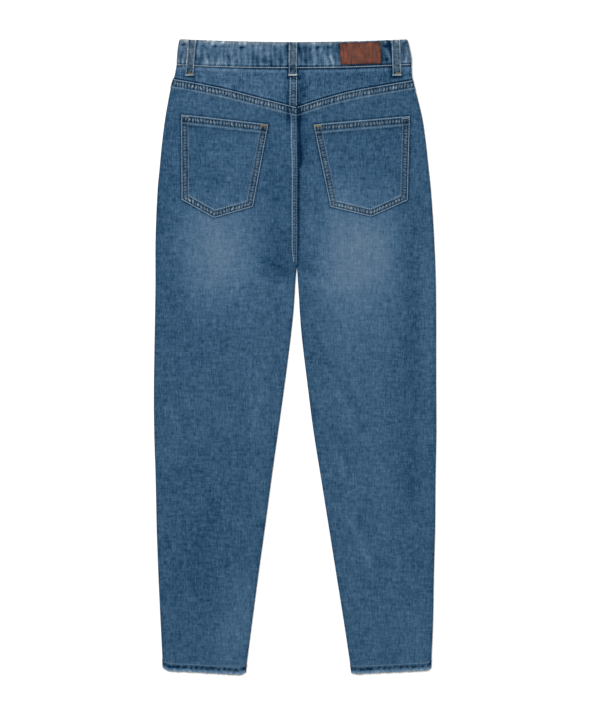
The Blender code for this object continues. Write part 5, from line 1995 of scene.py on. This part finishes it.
@dataclass
class Sewing:
    """All topstitching, bar tacks and frayed ends."""

    finishes: Finishes
    band: Waistband
    pockets: Sequence[BackPocket]
    loops: Sequence[BeltLoop]
    ends_per_hem: int = 260

    def line(self, start: float, end: float, drop_at: Callable[[float], float], pitch: float) -> list[Plan]:
        """A path across the garment whose drop follows x."""
        return [(x, drop_at(x)) for x in (*steps(start, end, pitch), end)]

    def seams(self) -> list[Run]:
        """The rows on the panels and the waistband."""
        foot, yoke = JEANS.band_foot[BACK].drop(0) + 1.0, JEANS.yoke_middle
        rows = ((1.0, foot, yoke - 2), (1.0, yoke + 28, JEANS.crotch - 8), (0.0, foot, yoke - 2))
        return self.yoke_row(1.9) + [(self.seat_row(*row), on_back) for row in rows]

    def yoke_row(self, below: float) -> list[Run]:
        """One row along both yoke seams, at a distance below their edge."""
        runs = []
        for side in Side:
            outer = JEANS.side_x(side, JEANS.yoke_side[side] + below) - side.value * 1.5
            inner = JEANS.centre[BACK](JEANS.yoke_middle) + side.value * 1.0
            runs.append((self.line(outer, inner, lambda x: JEANS.yoke_drop(x) + below, 10.0), on_back))
        return runs

    def seat_row(self, share: float, first: float, last: float) -> list[Plan]:
        """A row along the seat seam, by its share from the seam's edge to its far side."""
        path = []
        for drop in (*steps(first, last, 9.0), last):
            inset = mix(1.1, JEANS.seat_width(drop) - 1.4, share)
            path.append((JEANS.inner_x(LEFT, BACK, drop) - inset, drop))
        return path

    def faded(self) -> list[Run]:
        """The rows whose thread has taken the cloth's blue."""
        runs = self.yoke_row(0.89 * (JEANS.yoke_fell + 1))
        runs.append((self.seat_row(0.0, JEANS.yoke_middle + 3, JEANS.crotch - 8), on_back))
        runs.append((self.seat_row(1.0, JEANS.yoke_middle + 3, JEANS.yoke_middle + 28), on_back))
        runs += [(path, pocket.surface) for pocket in self.pockets for path in pocket.faded_rows()]
        for side in Side:
            outer = JEANS.side_x(side, 1000) - side.value * 2.5
            inner = JEANS.inner_x(side, BACK, 1000) + side.value * 2.0
            path = self.line(outer, inner, lambda x: JEANS.hem_drop(side, x) - 11.7, 8.0)
            runs += [(path, on_back), (path, on_front)]
        return runs

    def waist(self) -> list[Run]:
        """The rows along the waistband's foot."""
        back_foot, front_foot = JEANS.band_foot[BACK], JEANS.band_foot[FRONT]
        back = self.line(-188, 184, lambda x: back_foot.drop(x) - 0.7 - 0.8 * smooth((x + 190) / 250), 6.0)
        runs = [(back, self.band.on_back)]
        for start, end in ((-184, 8), (12, 182)):
            runs.append((self.line(start, end, lambda x: front_foot.drop(x) - 1.5, 12.0), self.band.on_front))
        return runs

    def front(self) -> list[Run]:
        """The rows on the front: the pockets' mouths and the fly."""
        runs: list[Run] = []
        foot, fly_end = JEANS.band_foot[FRONT], 165.0
        for side in Side:
            for inset in (2.0, 8.5):
                path = []
                for angle in range(0, 84, 6):
                    turn = math.radians(angle)
                    drop = foot.side + (JEANS.scoop_depth + inset) * math.sin(turn)
                    x = JEANS.side_x(side, drop) - side.value * (JEANS.scoop_width + inset) * math.cos(turn)
                    path.append((x, max(drop, foot.drop(x) + 1.0)))
                runs.append((path, on_front))
        edge, top = JEANS.centre[FRONT], foot.drop(0) + 1
        for inset in (34.0, 40.0):
            path = [(edge(120) - inset, drop) for drop in steps(top, fly_end, 12.0)]
            for angle in range(0, 91, 10):
                turn = math.radians(angle)
                path.append((edge(120) - inset * math.cos(turn), fly_end + (inset + 8) * math.sin(turn)))
            runs.append((path, on_front))
        runs.append(([(edge(drop) - 2.0, drop) for drop in steps(top, fly_end - 5, 12.0)], on_front))
        return runs

    def build_fray(self) -> None:
        """Loose yarn ends along the worn hems."""
        draws = random.Random(23)
        points: list[list[float]] = []
        faces: list[list[int]] = []
        for side in Side:
            outer = JEANS.side_x(side, 1008) - side.value * 4
            inner = JEANS.inner_x(side, BACK, 1012) + side.value * 3
            for _ in range(self.ends_per_hem):
                x = mix(outer, inner, draws.random())
                drop = JEANS.hem_drop(side, x)
                height = mix(1.2, 5.0, draws.random())
                length = draws.uniform(0.8, 2.9)
                lean = draws.uniform(-0.9, 0.9)
                start = len(points)
                for share, thick in ((-0.6, 0.16), (0.5, 0.14), (1.0, 0.05)):
                    bend = lean * share * share * length
                    for angle in (90, 210, 330):
                        turn = math.radians(angle)
                        points.append([
                            x + bend + thick * math.cos(turn),
                            JEANS.length / 2 - drop - length * share,
                            height - 0.5 * share * share + thick * math.sin(turn),
                        ])
                for first in (start, start + 3):
                    for k in range(3):
                        m = (k + 1) % 3
                        faces.append([first + k, first + m, first + 3 + m, first + 3 + k])
                faces += [[start + 2, start + 1, start], [start + 6, start + 7, start + 8]]
        declare(mesh_object("hem_fray", np.array(points), faces, self.finishes.cream), None, ())

    def build(self) -> None:
        """Sews everything."""
        thread = Topstitch()
        thread.sew("topstitch_seams", self.seams(), self.finishes.pale)
        thread.sew("topstitch_faded", self.faded(), self.finishes.faded)
        thread.sew("topstitch_waist", self.waist(), self.finishes.cream)
        thread.sew("topstitch_front", self.front(), self.finishes.pale)
        rows = [(path, pocket.surface) for pocket in self.pockets for path in pocket.rows_of_stitches()]
        thread.sew("topstitch_pockets", rows, self.finishes.pale)
        rows = [(path, loop.surface) for loop in self.loops for path in loop.rows_of_stitches()]
        thread.sew("topstitch_loops", rows, self.finishes.faded)
        bars = [(bar, pocket.surface) for pocket in self.pockets for bar in pocket.bar_tacks()]
        feet = [(loop.bar_tack(), loop.surface) for loop in self.loops]
        left, right = ((loop.bar_tack(4.4, 0.7), loop.surface) for loop in self.loops[1:3])
        thread.tack("tacks_tan", [bars[1], left], self.finishes.tan, 3.6)
        thread.tack("tacks_olive", [bars[2], right], self.finishes.olive, 3.6)
        thread.tack("tacks_grey", [bars[0], bars[3]], self.finishes.faded, 2.0)
        thread.tack("tacks_pale", [feet[1], feet[2]], self.finishes.pale, 2.0)
        thread.tack("tacks_cream", [feet[0], *feet[3:]], self.finishes.cream, 2.4)
        self.build_fray()


@dataclass
class Studio:
    """A pale floor, soft light, and the camera straight above."""

    centre_x: float = 8.0
    centre_y: float = -4.8
    frame_height: float = 1.152
    distance: float = 5.0
    floor_size: float = 14.0
    floor_white: float = 0.93
    sky: float = 0.45
    lamp_size: float = 2.2
    lamp_power: float = 240.0
    lamp_place: tuple[float, float, float] = (-0.9, 1.3, 4.8)

    def build_camera(self) -> None:
        """The camera, framed as the photograph is."""
        data = bpy.data.cameras.new("camera")
        data.sensor_fit = "AUTO"
        data.sensor_width = 36.0
        data.lens = data.sensor_width * self.distance / self.frame_height
        data.clip_end = 60.0
        camera = bpy.data.objects.new("camera", data)
        camera.location = (self.centre_x * MM, self.centre_y * MM, self.distance)
        bpy.context.scene.collection.objects.link(camera)
        bpy.context.scene.camera = camera

    def build_floor(self) -> None:
        """The floor, under the whole object."""
        deselect()
        bpy.ops.mesh.primitive_plane_add(size=self.floor_size, location=(0, 0, -0.0004))
        floor = bpy.context.object
        floor.name = floor.data.name = "floor"
        material, graph, shader = shaded("pale floor")
        white = (self.floor_white, self.floor_white, self.floor_white, 1)
        graph.feed(shader, {"Base Color": white, "Roughness": 0.95, "Specular IOR Level": 0.0})
        floor.data.materials.append(material)

    def build_light(self) -> None:
        """A white sky and one large soft lamp, high above and a little to the upper left."""
        world = bpy.data.worlds.new("studio")
        bpy.context.scene.world = world
        world.use_nodes = True
        sky = world.node_tree.nodes["Background"]
        Graph(world.node_tree).feed(sky, {"Color": (1, 1, 1, 1), "Strength": self.sky})
        data = bpy.data.lights.new("soft lamp", "AREA")
        data.shape = "SQUARE"
        data.size = self.lamp_size
        data.energy = self.lamp_power
        lamp = bpy.data.objects.new("soft lamp", data)
        lamp.location = self.lamp_place
        lamp.rotation_euler = (-lamp.location).to_track_quat("-Z", "Y").to_euler()
        bpy.context.scene.collection.objects.link(lamp)
        bpy.context.scene.view_settings.view_transform = "Standard"
        bpy.context.scene.view_settings.look = "None"

    def build(self) -> None:
        """Builds the studio."""
        self.build_camera()
        self.build_floor()
        self.build_light()


def main() -> None:
    """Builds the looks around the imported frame."""
    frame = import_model()
    deselect()
    finishes = Finishes()
    Studio().build()
    Panels(finishes).build()
    band = Waistband(finishes)
    band.build()
    pockets = [BackPocket(side, finishes) for side in Side]
    for pocket in pockets:
        pocket.build()
    loops = []
    for word, place in zip(("back", "side_left", "side_right"), BACK_LOOPS):
        loops.append(BeltLoop(f"belt_loop_{word}", BACK, place, finishes))
    for word, x in (("left", -104.0), ("right", 106.0)):
        loops.append(BeltLoop(f"belt_loop_front_{word}", FRONT, LoopPlace(x, x, 13.5), finishes))
    for loop in loops:
        loop.build()
    LeatherPatch(finishes).build()
    Button(finishes).build()
    zip_materials = frame["nodes"]["zip"].data.materials
    zip_materials.clear()
    zip_materials.append(finishes.brass)
    Sewing(finishes, band, pockets, loops).build()


if __name__ == "__main__":
    logging.basicConfig(level=logging.INFO, format="%(message)s")
    main()
